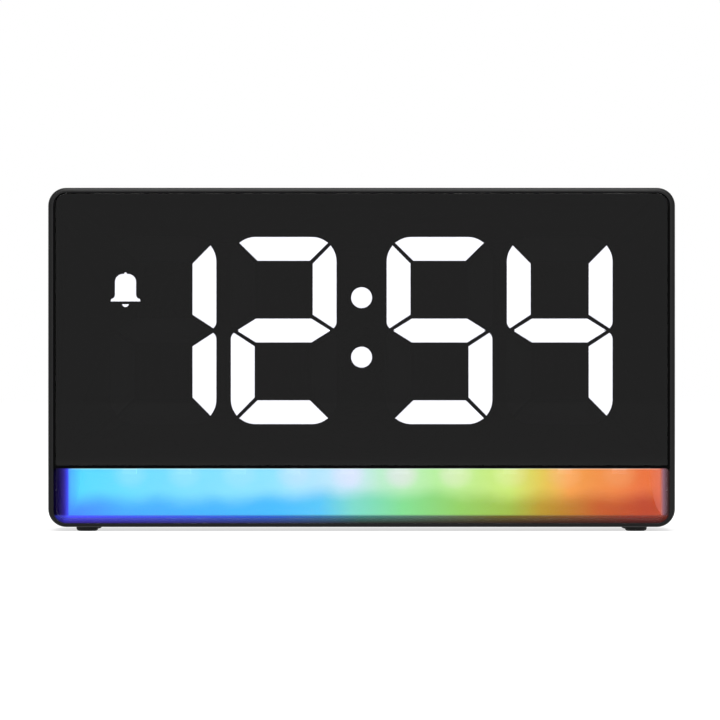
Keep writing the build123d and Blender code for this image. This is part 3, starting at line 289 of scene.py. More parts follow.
def moulded_grain_group():
    """The fine even grain of moulded plastic, with a faint mottle."""
    graph, given, out = new_group(
        "moulded_grain",
        [("Vector", "NodeSocketVector"), ("Fineness", "NodeSocketFloat"), ("Mottle", "NodeSocketFloat")],
        [("Shade", "NodeSocketFloat"), ("Gloss", "NodeSocketFloat"), ("Height", "NodeSocketFloat")])
    fine = graph.add("ShaderNodeTexNoise",
                     {"Vector": given["Vector"], "Scale": given["Fineness"], "Detail": 3.0}).outputs["Fac"]
    pits = graph.add("ShaderNodeTexVoronoi",
                     {"Vector": given["Vector"], "Scale": given["Fineness"]}).outputs["Distance"]
    broad = graph.noise(given["Vector"], 14 * MM, detail=4.0, roughness=0.6)
    swing = graph.maths("MULTIPLY", graph.maths("SUBTRACT", broad, 0.5), given["Mottle"])
    speck = graph.chain(fine, ("SUBTRACT", 0.5), ("MULTIPLY", 0.5))
    graph.put(out["Shade"], graph.chain(swing, ("ADD", speck), ("ADD", 1.0)))
    graph.put(out["Gloss"], graph.chain(swing, ("MULTIPLY", 0.5), ("ADD", speck)))
    graph.put(out["Height"], graph.chain(pits, ("MULTIPLY", 0.6), ("ADD", fine)))
    return graph.tree


def edge_group():
    """A mask of the edges, where handling polishes and wears them; on moulded plastic it also carries a
    painted highlight.
    """
    graph, given, out = new_group(
        "edge_wear_and_sheen", [("Width", "NodeSocketFloat")], [("Mask", "NodeSocketFloat")])
    bevel = graph.add("ShaderNodeBevel", {"Radius": given["Width"]}, samples=4)
    true_normal = graph.add("ShaderNodeNewGeometry").outputs["Normal"]
    turned = graph.add("ShaderNodeVectorMath", {0: bevel.outputs["Normal"], 1: true_normal},
                       operation="DOT_PRODUCT").outputs["Value"]
    graph.put(out["Mask"], graph.spread(turned, 0.995, 0.8))
    return graph.tree


def smudge_group():
    """Soft streaks that hands leave, as a mask."""
    graph, given, out = new_group(
        "handling_smudges", [("Vector", "NodeSocketVector"), ("Amount", "NodeSocketFloat")],
        [("Mask", "NodeSocketFloat")])
    stretched = graph.add("ShaderNodeMapping",
                          {"Vector": given["Vector"], "Scale": (1.0, 1.0, 0.4)}).outputs["Vector"]
    patches = graph.noise(stretched, 22 * MM, detail=3.0, roughness=0.65)
    streaks = graph.noise(stretched, 2.5 * MM)
    both = graph.maths("MULTIPLY", graph.spread(patches, 0.45, 0.75), graph.spread(streaks, 0.2, 0.8))
    graph.put(out["Mask"], graph.maths("MULTIPLY", both, given["Amount"]))
    return graph.tree


def rolled_lines_group():
    """The fine lines of rolled or turned metal."""
    graph, given, out = new_group(
        "rolled_lines", [("Vector", "NodeSocketVector"), ("Fineness", "NodeSocketFloat")],
        [("Shade", "NodeSocketFloat"), ("Height", "NodeSocketFloat")])
    drawn = graph.add("ShaderNodeMapping", {"Vector": given["Vector"], "Scale": (0.08, 1.0, 1.0)})
    lines = graph.add("ShaderNodeTexNoise", {"Vector": drawn.outputs["Vector"], "Scale": given["Fineness"],
                                             "Detail": 4.0, "Roughness": 0.7}).outputs["Fac"]
    graph.put(out["Shade"], graph.spread(lines, 0.2, 0.8, 0.75, 1.1))
    graph.put(out["Height"], lines)
    return graph.tree


def stops_along(graph, x, stops):
    """The colour of a row of stops at a place along the bar."""
    along = graph.spread(x, -GLOW_HALF_MM * MM, GLOW_HALF_MM * MM, smooth=False)
    return graph.ramp(along, [((share + 1) / 2, code) for share, code in stops])


def band_level(graph, place, x, z, step):
    """The height in the bar, less the waves of the border between its pale and its deep band."""
    wave = graph.maths("COSINE", graph.maths("MULTIPLY", step, 2 * math.pi))
    ripple = graph.chain(graph.noise(place, RIPPLE_SIZE_MM * MM), ("SUBTRACT", 0.5),
                         ("MULTIPLY", RIPPLE_HEIGHT_MM * MM))
    rise = graph.spread(x, RISE_FROM_MM * MM, RISE_TO_MM * MM, 0.0, RISE_HEIGHT_MM * MM)
    fall = graph.spread(x, FALL_FROM_MM * MM, FALL_TO_MM * MM, 0.0, FALL_HEIGHT_MM * MM)
    level = graph.maths("ADD", graph.maths("SUBTRACT", z, rise), fall)
    return graph.chain(wave, ("MULTIPLY", SCALLOP_MM * MM), ("ADD", level), ("ADD", ripple))


def bar_glow_group(low, high):
    """The lit hollow's painted light: paler above, deeper below, with a soft painted pool of light under each
    lamp.
    """
    graph, given, out = new_group(
        "bar_glow", [("Vector", "NodeSocketVector")], [("Colour", "NodeSocketColor")])
    x, _, z = graph.parts(given["Vector"])
    step = graph.chain(x, ("SUBTRACT", FIRST_LAMP), ("DIVIDE", LAMP_PITCH), ("ADD", 0.5),
                       ("FLOORED_MODULO", 1.0), ("SUBTRACT", 0.5))
    level = band_level(graph, given["Vector"], x, z, step)
    height = high - low
    paler = graph.spread(level, low + BAND_LOW_SHARE * height, low + BAND_HIGH_SHARE * height)
    colour = graph.mix(paler, stops_along(graph, x, LOWER_STOPS), stops_along(graph, x, UPPER_STOPS))
    across = graph.maths("MULTIPLY", step, LAMP_PITCH / (SPOT_HALF_WIDTH_MM * MM))
    down = graph.chain(z, ("SUBTRACT", high - SPOT_DROP_MM * MM), ("DIVIDE", SPOT_HALF_HEIGHT_MM * MM))
    spot = graph.spread(graph.squares(across, down), 1.0, 0.0, 0.0, SPOT_FORCE)
    colour = graph.mix(spot, colour, stops_along(graph, x, SPOT_STOPS))
    top = graph.spread(z, high - TOP_LINE_FROM_MM * MM, high - TOP_LINE_TO_MM * MM, 0.0, TOP_LINE_FORCE)
    graph.put(out["Colour"], graph.mix(top, colour, linear(TOP_LINE_COLOUR)))
    return graph.tree


def bar_edge_group(low, high):
    """The painted light that fades outwards below the hollow and past its ends, with painted shade in the top
    corners, and the mask of where it lies.
    """
    graph, given, out = new_group("bar_edge", [("Vector", "NodeSocketVector")],
                                  [("Colour", "NodeSocketColor"), ("Mask", "NodeSocketFloat")])
    x, _, z = graph.parts(given["Vector"])
    depth = graph.spread(z, low - NEAR_DROP_MM * MM, low - FAR_DROP_MM * MM, smooth=False)
    colour = graph.mix(depth, stops_along(graph, x, NEAR_STOPS), stops_along(graph, x, FAR_STOPS))
    below = graph.spread(z, low + MOUTH_FADE_ABOVE_MM * MM, low - MOUTH_FADE_BELOW_MM * MM)
    mask = below
    for sign, reach, stops in ((-1, LEFT_END_MM, LEFT_END_STOPS), (1, RIGHT_END_MM, RIGHT_END_STOPS)):
        share = graph.spread(x, sign * reach[0] * MM, sign * reach[1] * MM, smooth=False)
        tint = graph.ramp(share, stops)
        past = graph.spread(share, 0.0, END_BLEND_SHARE)
        dark = graph.mix(0.5, colour, tint, "DARKEN")
        colour = graph.mix(past, colour, graph.mix(below, tint, dark))
        mask = graph.maths("MAXIMUM", mask, past)
    # Painted shade: the bar's top corners go black
    width, height = DARK_CORNER_WIDTH_MM * MM, DARK_CORNER_HEIGHT_MM * MM
    sideways = graph.chain(x, ("ABSOLUTE", 0.0), ("SUBTRACT", LENS_HIGH.x - width), ("DIVIDE", width))
    upwards = graph.chain(z, ("SUBTRACT", high - height), ("DIVIDE", height))
    corner = graph.spread(graph.maths("ADD", sideways, upwards), *DARK_CORNER_BLEND)
    graph.put(out["Colour"], graph.mix(corner, colour, linear("000000")))
    graph.put(out["Mask"], mask)
    return graph.tree


GRAIN = moulded_grain_group()
EDGE = edge_group()
SMUDGES = smudge_group()
ROLLED_LINES = rolled_lines_group()
SCOOP_LOW, SCOOP_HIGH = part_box("light_reflector")
LENS_LOW, LENS_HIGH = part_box("light_bar_lens")
LAMPS_LOW, LAMPS_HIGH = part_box("mood_leds")
LAMP_PITCH = (LAMPS_HIGH.x - LAMPS_LOW.x - LAMP_LENGTH_MM * MM) / (LAMP_COUNT - 1)
FIRST_LAMP = LAMPS_LOW.x + LAMP_LENGTH_MM * MM / 2
MOUTH_LOW = SCOOP_LOW.z + SCOOP_BORDER_MM * MM
GLOW = bar_glow_group(MOUTH_LOW, SCOOP_HIGH.z)
GLOW_EDGE = bar_edge_group(MOUTH_LOW, SCOOP_HIGH.z)


# Finishes

def moulded(name, colour, roughness, grain_mm, depth_mm, edge_wear_and_sheen_colour, smudge=0.1, **plain):
    """Moulded plastic: fine grain, a faint mottle, edges a little paler (partly wear, partly a painted
    highlight) and smoother, light smudges.
    """
    material, graph, sockets = new_material(name, **plain)
    place = graph.place()
    grain = graph.group(GRAIN, {"Vector": place, "Fineness": 1 / (grain_mm * MM), "Mottle": 0.35})
    edge = graph.group(EDGE, {"Width": 0.5 * MM})["Mask"]
    smudges = graph.group(SMUDGES, {"Vector": place, "Amount": smudge})["Mask"]
    body = graph.shaded(colour, grain["Shade"])
    # The paler edges are partly wear and partly a painted highlight
    graph.put(sockets["Base Color"], graph.mix(edge, body, linear(edge_wear_and_sheen_colour)))
    uneven = graph.chain(grain["Gloss"], ("MULTIPLY", 0.5), ("ADD", roughness), ("SUBTRACT", smudges))
    polish = graph.maths("MULTIPLY", edge, 0.08)
    graph.put(sockets["Roughness"], graph.maths("SUBTRACT", uneven, polish, clamp=True))
    graph.put(sockets["Normal"], graph.bump(grain["Height"], depth_mm * MM))
    return material


def smoked_window():
    """A smoked clear plate, polished, with a faintly uneven tint."""
    material, graph, sockets = new_material("smoked_window", IOR=1.292, Transmission_Weight=1.0)
    place = graph.place()
    smudges = graph.group(SMUDGES, {"Vector": place, "Amount": 0.012})["Mask"]
    tint = graph.spread(graph.noise(place, 40 * MM), 0.2, 0.8, 0.94, 1.0)
    graph.put(sockets["Base Color"], graph.shaded("3a3a3c", tint))
    graph.put(sockets["Roughness"], graph.maths("ADD", smudges, 0.012))
    return material


def black_film(name, colour, roughness):
    """Printed black film, tape or felt, matt, with a faint weave of its print."""
    material, graph, sockets = new_material(name, Specular_IOR_Level=0.1)
    print_dots = graph.cells(graph.place(), 0.3 * MM)
    graph.put(sockets["Base Color"], graph.shaded(colour, graph.spread(print_dots, 0.0, 0.8, 0.85, 1.15)))
    graph.put(sockets["Roughness"], graph.spread(print_dots, 0.0, 0.8, roughness, roughness + 0.1))
    return material


def lit_segment():
    """A glowing white diffuser."""
    material, graph, sockets = new_material("lit_segment", Roughness=0.5, Emission_Strength=26.5)
    cloud = graph.noise(graph.place(), 1.2 * MM, detail=3.0)
    graph.put(sockets["Base Color"], graph.mix(cloud, linear("e8e8e6"), linear("f6f6f6")))
    graph.put(sockets["Emission Color"], graph.mix(cloud, linear("fbfcff"), linear("ffffff")))
    return material


def unlit_segment():
    """A diffuser that isn't lit: its white drawn near black, painted shade under the smoked window."""
    material, graph, sockets = new_material("unlit_segment", Specular_IOR_Level=0.05)
    cloud = graph.noise(graph.place(), 1.2 * MM, detail=3.0)
    graph.put(sockets["Base Color"], graph.mix(cloud, linear("080808"), linear("0c0c0c")))
    graph.put(sockets["Roughness"], graph.spread(cloud, 0.3, 0.7, 0.6, 0.75))
    return material


def glowing_scoop():
    """The white scoop with its lamps' light painted on as glow: bright in its hollow, dim on the flange round
    it.
    """
    material, graph, sockets = new_material("glowing_scoop", Roughness=0.6, Specular_IOR_Level=0.1,
                                            Emission_Strength=GLOW_STRENGTH)
    place = graph.place()
    x, y, _ = graph.parts(place)
    glow = graph.group(GLOW, {"Vector": place})["Colour"]
    edge = graph.group(GLOW_EDGE, {"Vector": place})
    facing = graph.parts(graph.add("ShaderNodeNewGeometry").outputs["Normal"])
    end_wall = graph.spread(graph.maths("ABSOLUTE", facing["X"]), 0.5, 0.9)
    front = LENS_HIGH.y
    towards_front = graph.spread(y, front + END_WALL_REACH_MM * MM, front, END_WALL_BACK_FORCE,
                                 END_WALL_FRONT_FORCE, smooth=False)
    right = graph.maths("GREATER_THAN", x, 0.0)
    end_tint = graph.mix(right, linear(LEFT_WALL_COLOUR), linear(RIGHT_WALL_COLOUR))
    inside = graph.mix(graph.maths("MULTIPLY", end_wall, towards_front), glow, end_tint)
    graph.put(sockets["Emission Color"], graph.mix(edge["Mask"], inside, edge["Colour"]))
    # Painted shade: the white scoop's base colour is drawn near black, darkest on the flange, so that only
    # the painted glow shows
    hollow = graph.spread(y, front, front + 0.2 * MM)
    dust = graph.spread(graph.noise(place, 0.8 * MM), 0.3, 0.7, 0.9, 1.0)
    graph.put(sockets["Base Color"], graph.mix(hollow, linear("070709"), graph.shaded("1a1a1b", dust)))
    return material


def lamp_package():
    """A colour lamp's package, as bright as the scoop beside it."""
    material, graph, sockets = new_material("lamp_package", Roughness=0.45, Emission_Strength=GLOW_STRENGTH)
    place = graph.place()
    graph.put(sockets["Emission Color"], graph.group(GLOW, {"Vector": place})["Colour"])
    mottle = graph.noise(place, 0.4 * MM)
    graph.put(sockets["Base Color"], graph.mix(mottle, linear("18181a"), linear("202022")))
    return material


def past_scoop(graph, place):
    """1 where the scoop doesn't lie behind the lens: below it, past its sides and in its round corners."""
    x, _, z = graph.parts(place)
    corner = SCOOP_CORNER_MM * MM
    aside = graph.chain(x, ("ABSOLUTE", 0.0), ("SUBTRACT", SCOOP_HIGH.x - corner), ("MAXIMUM", 0.0))
    under = graph.chain(z, ("SUBTRACT", SCOOP_LOW.z + corner), ("MULTIPLY", -1.0), ("MAXIMUM", 0.0))
    away = graph.maths("SQRT", graph.squares(aside, under))
    return graph.spread(away, corner + FLANGE_EDGE_MM[0] * MM, corner + FLANGE_EDGE_MM[1] * MM)


def bar_lens():
    """The clear bar over the scoop, with the softness of a moulded diffuser, and the scoop's glow painted on
    as light round its border.
    """
    material, graph, sockets = new_material("bar_lens", IOR=1.16, Transmission_Weight=1.0,
                                            Emission_Strength=1.0)
    place = graph.place()
    haze = graph.noise(place, 0.6 * MM)
    graph.put(sockets["Base Color"], graph.mix(haze, linear("f6f8fa"), linear("fcfdfe")))
    smudges = graph.group(SMUDGES, {"Vector": place, "Amount": 0.02})["Mask"]
    graph.put(sockets["Roughness"], graph.maths("ADD", graph.spread(haze, 0.2, 0.8, 0.03, 0.05), smudges))
    edge = graph.group(GLOW_EDGE, {"Vector": place})["Colour"]
    share = graph.maths("MULTIPLY", past_scoop(graph, place), LENS_EDGE_FORCE)
    graph.put(sockets["Emission Color"], graph.mix(share, linear("000000"), edge))
    return material


def metal(name, colour, roughness, line_mm, stain):
    """Plated or bare metal: fine lines, and a stain in patches."""
    material, graph, sockets = new_material(name, Metallic=1.0)
    place = graph.place()
    lines = graph.group(ROLLED_LINES, {"Vector": place, "Fineness": 1 / (line_mm * MM)})
    edge = graph.group(EDGE, {"Width": 0.2 * MM})["Mask"]
    patches = graph.spread(graph.noise(place, 3 * MM, detail=3.0), 0.5, 0.8, 0.0, 0.5)
    stained = graph.mix(patches, graph.shaded(colour, lines["Shade"]), linear(stain))
    polish = graph.maths("MULTIPLY", edge, 0.5)
    graph.put(sockets["Base Color"], graph.mix(polish, stained, linear("f0f0ee")))
    uneven = graph.spread(lines["Height"], 0.2, 0.8, roughness - 0.06, roughness + 0.08)
    graph.put(sockets["Roughness"], uneven)
    graph.put(sockets["Normal"], graph.bump(lines["Height"], 0.01 * MM))
    return material


def circuit_board(name, mask_colour, trace_colour):
    """A circuit board: traces under its solder mask, with the faint weave of its glass cloth."""
    material, graph, sockets = new_material(name)
    place = graph.place()
    nets = graph.add("ShaderNodeTexVoronoi", {"Vector": place, "Scale": 1 / (3.2 * MM), "Randomness": 0.85},
                     distance="MANHATTAN", feature="DISTANCE_TO_EDGE").outputs["Distance"]
    traces = graph.spread(nets, 0.08, 0.05)
    vias = graph.spread(graph.cells(place, 2.1 * MM), 0.16, 0.12)
    weave = graph.add("ShaderNodeTexWave", {"Vector": place, "Scale": 1 / (1.0 * MM), "Distortion": 0.4})
    cloth = graph.maths("MULTIPLY", weave.outputs["Fac"], 0.12)
    mask = graph.mix(cloth, linear(mask_colour), linear(trace_colour))
    traced = graph.mix(graph.maths("MULTIPLY", traces, 0.6), mask, linear(trace_colour))
    graph.put(sockets["Base Color"], graph.mix(vias, traced, linear("b8a468")))
    graph.put(sockets["Roughness"], graph.spread(traces, 0.0, 1.0, 0.32, 0.24))
    graph.put(sockets["Normal"], graph.bump(graph.maths("ADD", traces, vias), 0.03 * MM))
    return material


def sleeved_capacitor():
    """The printed sleeve of a capacitor, with its pale stripe."""
    material, graph, sockets = new_material("sleeved_capacitor", Roughness=0.3)
    place = graph.place()
    wave = graph.add("ShaderNodeTexWave", {"Vector": place, "Scale": 1 / (9 * MM)}).outputs["Fac"]
    stripe = graph.spread(wave, 0.86, 0.9)
    wrinkle = graph.noise(place, 0.5 * MM, detail=3.0)
    sleeve = graph.mix(wrinkle, linear("15161c"), linear("20222c"))
    graph.put(sockets["Base Color"], graph.mix(stripe, sleeve, linear("9aa2b0")))
    graph.put(sockets["Normal"], graph.bump(wrinkle, 0.02 * MM))
    return material


def white_lead():
    """The white insulation of leads and flat cable, ribbed along its wires, with painted shade in the grooves
    between the ribs.
    """
    material, graph, sockets = new_material("white_lead", Roughness=0.45)
    ribs = graph.add("ShaderNodeTexWave", {"Vector": graph.place(), "Scale": 1 / (2.2 * MM)}).outputs["Fac"]
    graph.put(sockets["Base Color"], graph.mix(ribs, linear("b9b6ae"), linear("e6e4de")))
    graph.put(sockets["Normal"], graph.bump(ribs, 0.1 * MM))
    return material


SHELL = moulded("black_shell", "0e0e0e", roughness=0.34, grain_mm=0.16, depth_mm=0.012, edge_wear_and_sheen_colour="151516",
                Specular_IOR_Level=0.14)
KEYS = moulded("black_key", "202022", roughness=0.42, grain_mm=0.1, depth_mm=0.006, edge_wear_and_sheen_colour="343436",
               smudge=0.2, Specular_IOR_Level=0.28)
PART = moulded("black_part", "161617", roughness=0.38, grain_mm=0.2, depth_mm=0.01, edge_wear_and_sheen_colour="3a3a3a",
               Specular_IOR_Level=0.4)
MOULDING = moulded("white_moulding", "d9d9d4", roughness=0.55, grain_mm=0.2, depth_mm=0.01,
                   edge_wear_and_sheen_colour="e8e8e4")
GREY = moulded("grey_plunger", "74777b", roughness=0.45, grain_mm=0.12, depth_mm=0.006, edge_wear_and_sheen_colour="8e9195")
IVORY = moulded("ivory_plastic", "ddd5bd", roughness=0.4, grain_mm=0.15, depth_mm=0.006, edge_wear_and_sheen_colour="ece6d4")
STEEL = metal("zinc_steel", "b9bcc0", roughness=0.3, line_mm=0.1, stain="8d8a80")
BLACK_STEEL = metal("black_steel", "2b2b2c", roughness=0.4, line_mm=0.1, stain="1c1b1a")
BRIGHT = metal("nickel_plate", "cfcdc6", roughness=0.2, line_mm=0.08, stain="b2aa98")
GOLD = metal("gold_flash", "d9b25a", roughness=0.25, line_mm=0.06, stain="b58c3c")
LIT = lit_segment()
UNLIT = unlit_segment()
LAMPS = lamp_package()
BOARD = circuit_board("circuit_board", "0f3b24", "1f5c3a")
WHITE_BOARD = circuit_board("white_board", "c9cbc6", "dfe0dc")
LEADS = white_lead()
# Near-black felt for the strips that stand in for shade round the window
SHADE_FELT = black_film("felt", "020202", roughness=0.95)

FINISHES = (
    (SHELL, ("housing", "rear_cover", "battery_door")),
    (KEYS, ("snooze_key", "time_key", "alarm_key", "plus_key", "minus_key", "light_key",
            "alarm_switch_knob")),
    (PART, ("key_switches", "snooze_switch", "slide_switch", "controller_chip", "buzzer",
            "power_socket_base", "power_socket_tongue", "alarm_switch_nub")),
    (MOULDING, ("digit_block",)),
    (GREY, ("snooze_plunger", "time_key_plunger", "alarm_key_plunger", "plus_key_plunger",
            "minus_key_plunger", "light_key_plunger")),
    (IVORY, ("board_connectors",)),
    (STEEL, ("display_board_screws", "light_bar_screws", "main_board_screws")),
    (BLACK_STEEL, ("case_screws",)),
    (BRIGHT, ("battery_contact_positive", "battery_contact_negative", "coin_cell", "power_socket_shell",
              "clock_crystal")),
    (LIT, ("segment_leds",)),
    (BOARD, ("display_board", "main_board")),
    (WHITE_BOARD, ("mood_led_board",)),
    (LEADS, ("ribbon_cable", "mood_led_lead")),
    (smoked_window(), ("display_window",)),
    (bar_lens(), ("light_bar_lens",)),
    (glowing_scoop(), ("light_reflector",)),
    (black_film("printed_film", "0a0a0a", roughness=0.6), ("mask_film",)),
    (black_film("foam_tape", "131313", roughness=0.85), ("window_tape",)),
    (sleeved_capacitor(), ("smoothing_capacitors",)),
)


def dress_nodes():
    """Gives its finish to each node that no piece replaces."""
    for material, names in FINISHES:
        for name in names:
            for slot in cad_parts[name].material_slots:
                slot.material = material


def new_object(name, data):
    """An object in the scene, at the origin."""
    made = bpy.data.objects.new(name, data)
    bpy.context.scene.collection.objects.link(made)
    return made


def shown_mesh(made):
    """The plain mesh that an object shows, with its modifiers applied."""
    return bpy.data.meshes.new_from_object(made.evaluated_get(bpy.context.evaluated_depsgraph_get()))


# Display segments

LIT_SEGMENTS = {"digit_hours_tens": "bc", "digit_hours_ones": "abdeg",
                "digit_minutes_tens": "acdfg", "digit_minutes_ones": "bcfg"}


def segment_letter(centre, low, high):
    """The usual letter of a segment, from where it lies in its digit's box."""
    middle, half = (low + high) / 2, (high - low) / 2
    across, up = (centre.x - middle.x) / half.x, (centre.z - middle.z) / half.z
    if abs(across) < MIDDLE_COLUMN_SHARE:
        return "a" if up > END_ROW_SHARE else "d" if up < -END_ROW_SHARE else "g"
    if up > 0:
        return "b" if across > 0 else "f"
    return "c" if across > 0 else "e"


def islands(work):
    """The separate solids of a mesh, as lists of faces."""
    left = set(work.faces)
    groups = []
    while left:
        group, front = [], [left.pop()]
        while front:
            face = front.pop()
            group.append(face)
            near = {other for edge in face.edges for other in edge.link_faces} & left
            left -= near
            front.extend(near)
        groups.append(group)
    return groups


def keep_segments(work, node, letters):
    """Deletes the segments of a digit whose letters aren't given."""
    low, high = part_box(node)
    dropped = []
    for group in islands(work):
        places = [vert.co for face in group for vert in face.verts]
        centre = (Vector(map(min, zip(*places))) + Vector(map(max, zip(*places)))) / 2
        if segment_letter(centre, low, high) not in letters:
            dropped.extend(group)
    bmesh.ops.delete(work, geom=dropped, context="FACES")


def light_fronts(work):
    """Joins the front faces of each solid into one, and lights it up to a dim border."""
    work.normal_update()
    fronts = [face for face in work.faces if face.normal.y < FRONT_FACING]
    fronts = bmesh.ops.dissolve_faces(work, faces=fronts, use_verts=False)["region"]
    bmesh.ops.inset_region(work, faces=fronts, thickness=LIT_BORDER_MM * MM, use_even_offset=False,
                           use_boundary=True)
    for face in fronts:
        face.material_index = 1


def diffuser_piece(node, suffix, lit, letters=None):
    """A piece with the diffusers of a node, or with those segments of a digit whose letters are given."""
    work = bmesh.new()
    work.from_mesh(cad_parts[node].data)
    bmesh.ops.remove_doubles(work, verts=work.verts, dist=WELD_MM * MM)
    if letters:
        keep_segments(work, node, letters)
    if lit:
        light_fronts(work)
    mesh = bpy.data.meshes.new(f"{node}_{suffix}")
    work.to_mesh(mesh)
    work.free()
    mesh.materials.append(UNLIT)
    if lit:
        mesh.materials.append(LIT)
    piece = new_object(mesh.name, mesh)
    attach(piece, "clock")
    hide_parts(node)


def display_diffusers():
    """The lit and the dark segments of the four digits, showing 12:54, with the colon and the bell."""
    for node, lit in LIT_SEGMENTS.items():
        dark = "".join(letter for letter in "abcdefg" if letter not in lit)
        diffuser_piece(node, "lit", True, lit)
        diffuser_piece(node, "dark", False, dark)
    for node in ("colon_dots", "alarm_icon"):
        diffuser_piece(node, "lit", True)


# Repeated parts, made by geometry nodes

def shape_tree(name, inputs):
    """A geometry tree with named size inputs; returns its graph, what comes in and where it ends."""
    tree = bpy.data.node_groups.new(name, "GeometryNodeTree")
    tree.interface.new_socket("Geometry", in_out="INPUT", socket_type="NodeSocketGeometry")
    for label, kind in inputs:
        tree.interface.new_socket(label, in_out="INPUT", socket_type=kind)
    tree.interface.new_socket("Geometry", in_out="OUTPUT", socket_type="NodeSocketGeometry")
    graph = Graph(tree)
    return graph, graph.add("NodeGroupInput").outputs, graph.add("NodeGroupOutput").inputs["Geometry"]


def shape_piece(name, tree, values, places, body, node):
    """Runs a geometry tree on points and keeps its result as a plain mesh piece."""
    points = bpy.data.meshes.new(f"{name}_points")
    points.from_pydata(places, [], [])
    carrier = new_object(f"{name}_carrier", points)
    modifier = carrier.modifiers.new(name, "NODES")
    modifier.node_group = tree
    for item in tree.interface.items_tree:
        if item.in_out == "INPUT" and item.name in values:
            modifier[item.identifier] = values[item.name]
    mesh = shown_mesh(carrier)
    carrier.modifiers.clear()
    bpy.data.objects.remove(carrier)
    mesh.name = name
    piece = new_object(name, mesh)
    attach(piece, body)
    if node:
        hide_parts(node)


def close_tree(graph, geometry, material, out):
    """Ends a tree in real geometry with its material."""
    real = graph.add("GeometryNodeRealizeInstances", {"Geometry": geometry}).outputs["Geometry"]
    last = graph.add("GeometryNodeSetMaterial", {"Geometry": real, "Material": material})
    graph.put(out, last.outputs["Geometry"])
    return graph.tree


def on_points(graph, points, shape):
    """Copies of a shape on every point."""
    copies = graph.add("GeometryNodeInstanceOnPoints", {"Points": points, "Instance": shape})
    return copies.outputs["Instances"]


def foot_tree(material):
    """A round rubber foot with a soft lower edge and a ring pressed into its sole."""
    graph, given, out = shape_tree("rubber_foot", [
        ("Radius", "NodeSocketFloat"), ("Height", "NodeSocketFloat"), ("Edge", "NodeSocketFloat"),
        ("Ring Depth", "NodeSocketFloat")])
    drum = graph.add("GeometryNodeMeshCylinder", {
        "Vertices": FOOT_SIDES, "Side Segments": FOOT_STEPS_UP, "Fill Segments": FOOT_STEPS_IN,
        "Radius": given["Radius"], "Depth": given["Height"]}).outputs["Mesh"]
    x, y, z = graph.parts(graph.add("GeometryNodeInputPosition").outputs["Position"])
    from_sole = graph.maths("ADD", z, graph.maths("DIVIDE", given["Height"], 2.0))
    lack = graph.maths("MAXIMUM", graph.maths("SUBTRACT", given["Edge"], from_sole), 0.0)
    left = graph.maths("SUBTRACT", graph.maths("MULTIPLY", given["Edge"], given["Edge"]),
                       graph.maths("MULTIPLY", lack, lack))
    rounding = graph.maths("SUBTRACT", given["Edge"], graph.chain(left, ("MAXIMUM", 0.0), ("SQRT", 0.0)))
    shrink = graph.maths("SUBTRACT", 1.0, graph.maths("DIVIDE", rounding, given["Radius"]))
    share = graph.maths("DIVIDE", graph.maths("SQRT", graph.squares(x, y)), given["Radius"])
    on_sole = graph.maths("LESS_THAN", from_sole, 0.01 * MM)
    from_ring = graph.chain(share, ("SUBTRACT", FOOT_RING_RADIUS_SHARE), ("ABSOLUTE", 0.0))
    ring = graph.spread(from_ring, FOOT_RING_OUTSIDE_SHARE, FOOT_RING_INSIDE_SHARE)
    lift = graph.maths("MULTIPLY", graph.maths("MULTIPLY", ring, on_sole), given["Ring Depth"])
    moved = graph.add("ShaderNodeCombineXYZ", {
        "X": graph.maths("MULTIPLY", x, shrink), "Y": graph.maths("MULTIPLY", y, shrink),
        "Z": graph.maths("ADD", z, lift)}).outputs["Vector"]
    shaped = graph.add("GeometryNodeSetPosition", {"Geometry": drum, "Position": moved}).outputs["Geometry"]
    smooth = graph.add("GeometryNodeSetShadeSmooth", {"Geometry": shaped}).outputs["Geometry"]
    return close_tree(graph, on_points(graph, given["Geometry"], smooth), material, out)


def rubber_feet():
    """The four feet, each on its corner."""
    low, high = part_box("feet")
    radius = FOOT_RADIUS_MM * MM
    places = [(x, y, (low.z + high.z) / 2) for x in (low.x + radius, high.x - radius)
              for y in (low.y + radius, high.y - radius)]
    values = {"Radius": radius, "Height": high.z - low.z, "Edge": FOOT_EDGE_MM * MM,
              "Ring Depth": FOOT_RING_DEPTH_MM * MM}
    shape_piece("rubber_feet", foot_tree(PLAIN_RUBBER), values, places, "clock", "feet")


def lamp_tree(material):
    """A colour lamp: a square package with a round window that looks down."""
    graph, given, out = shape_tree("colour_lamp", [
        ("Length", "NodeSocketFloat"), ("Width", "NodeSocketFloat"), ("Height", "NodeSocketFloat")])
    size = graph.add("ShaderNodeCombineXYZ", {
        "X": given["Length"], "Y": given["Width"], "Z": given["Height"]}).outputs["Vector"]
    package = graph.add("GeometryNodeMeshCube", {"Size": size}).outputs["Mesh"]
    window = graph.add("GeometryNodeMeshCylinder", {
        "Vertices": LAMP_WINDOW_SIDES,
        "Radius": graph.maths("MULTIPLY", given["Width"], LAMP_WINDOW_RADIUS_SHARE),
        "Depth": graph.maths("MULTIPLY", given["Height"], LAMP_WINDOW_DEPTH_SHARE)}).outputs["Mesh"]
    drop = graph.maths("MULTIPLY", given["Height"], -LAMP_WINDOW_DROP_SHARE)
    down = graph.add("ShaderNodeCombineXYZ", {"Z": drop}).outputs["Vector"]
    lowered = graph.add("GeometryNodeTransform", {
        "Geometry": window, "Translation": down}).outputs["Geometry"]
    recess = graph.add("GeometryNodeMeshBoolean", {"Mesh 1": package, "Mesh 2": lowered},
                       operation="DIFFERENCE").outputs["Mesh"]
    return close_tree(graph, on_points(graph, given["Geometry"], recess), material, out)


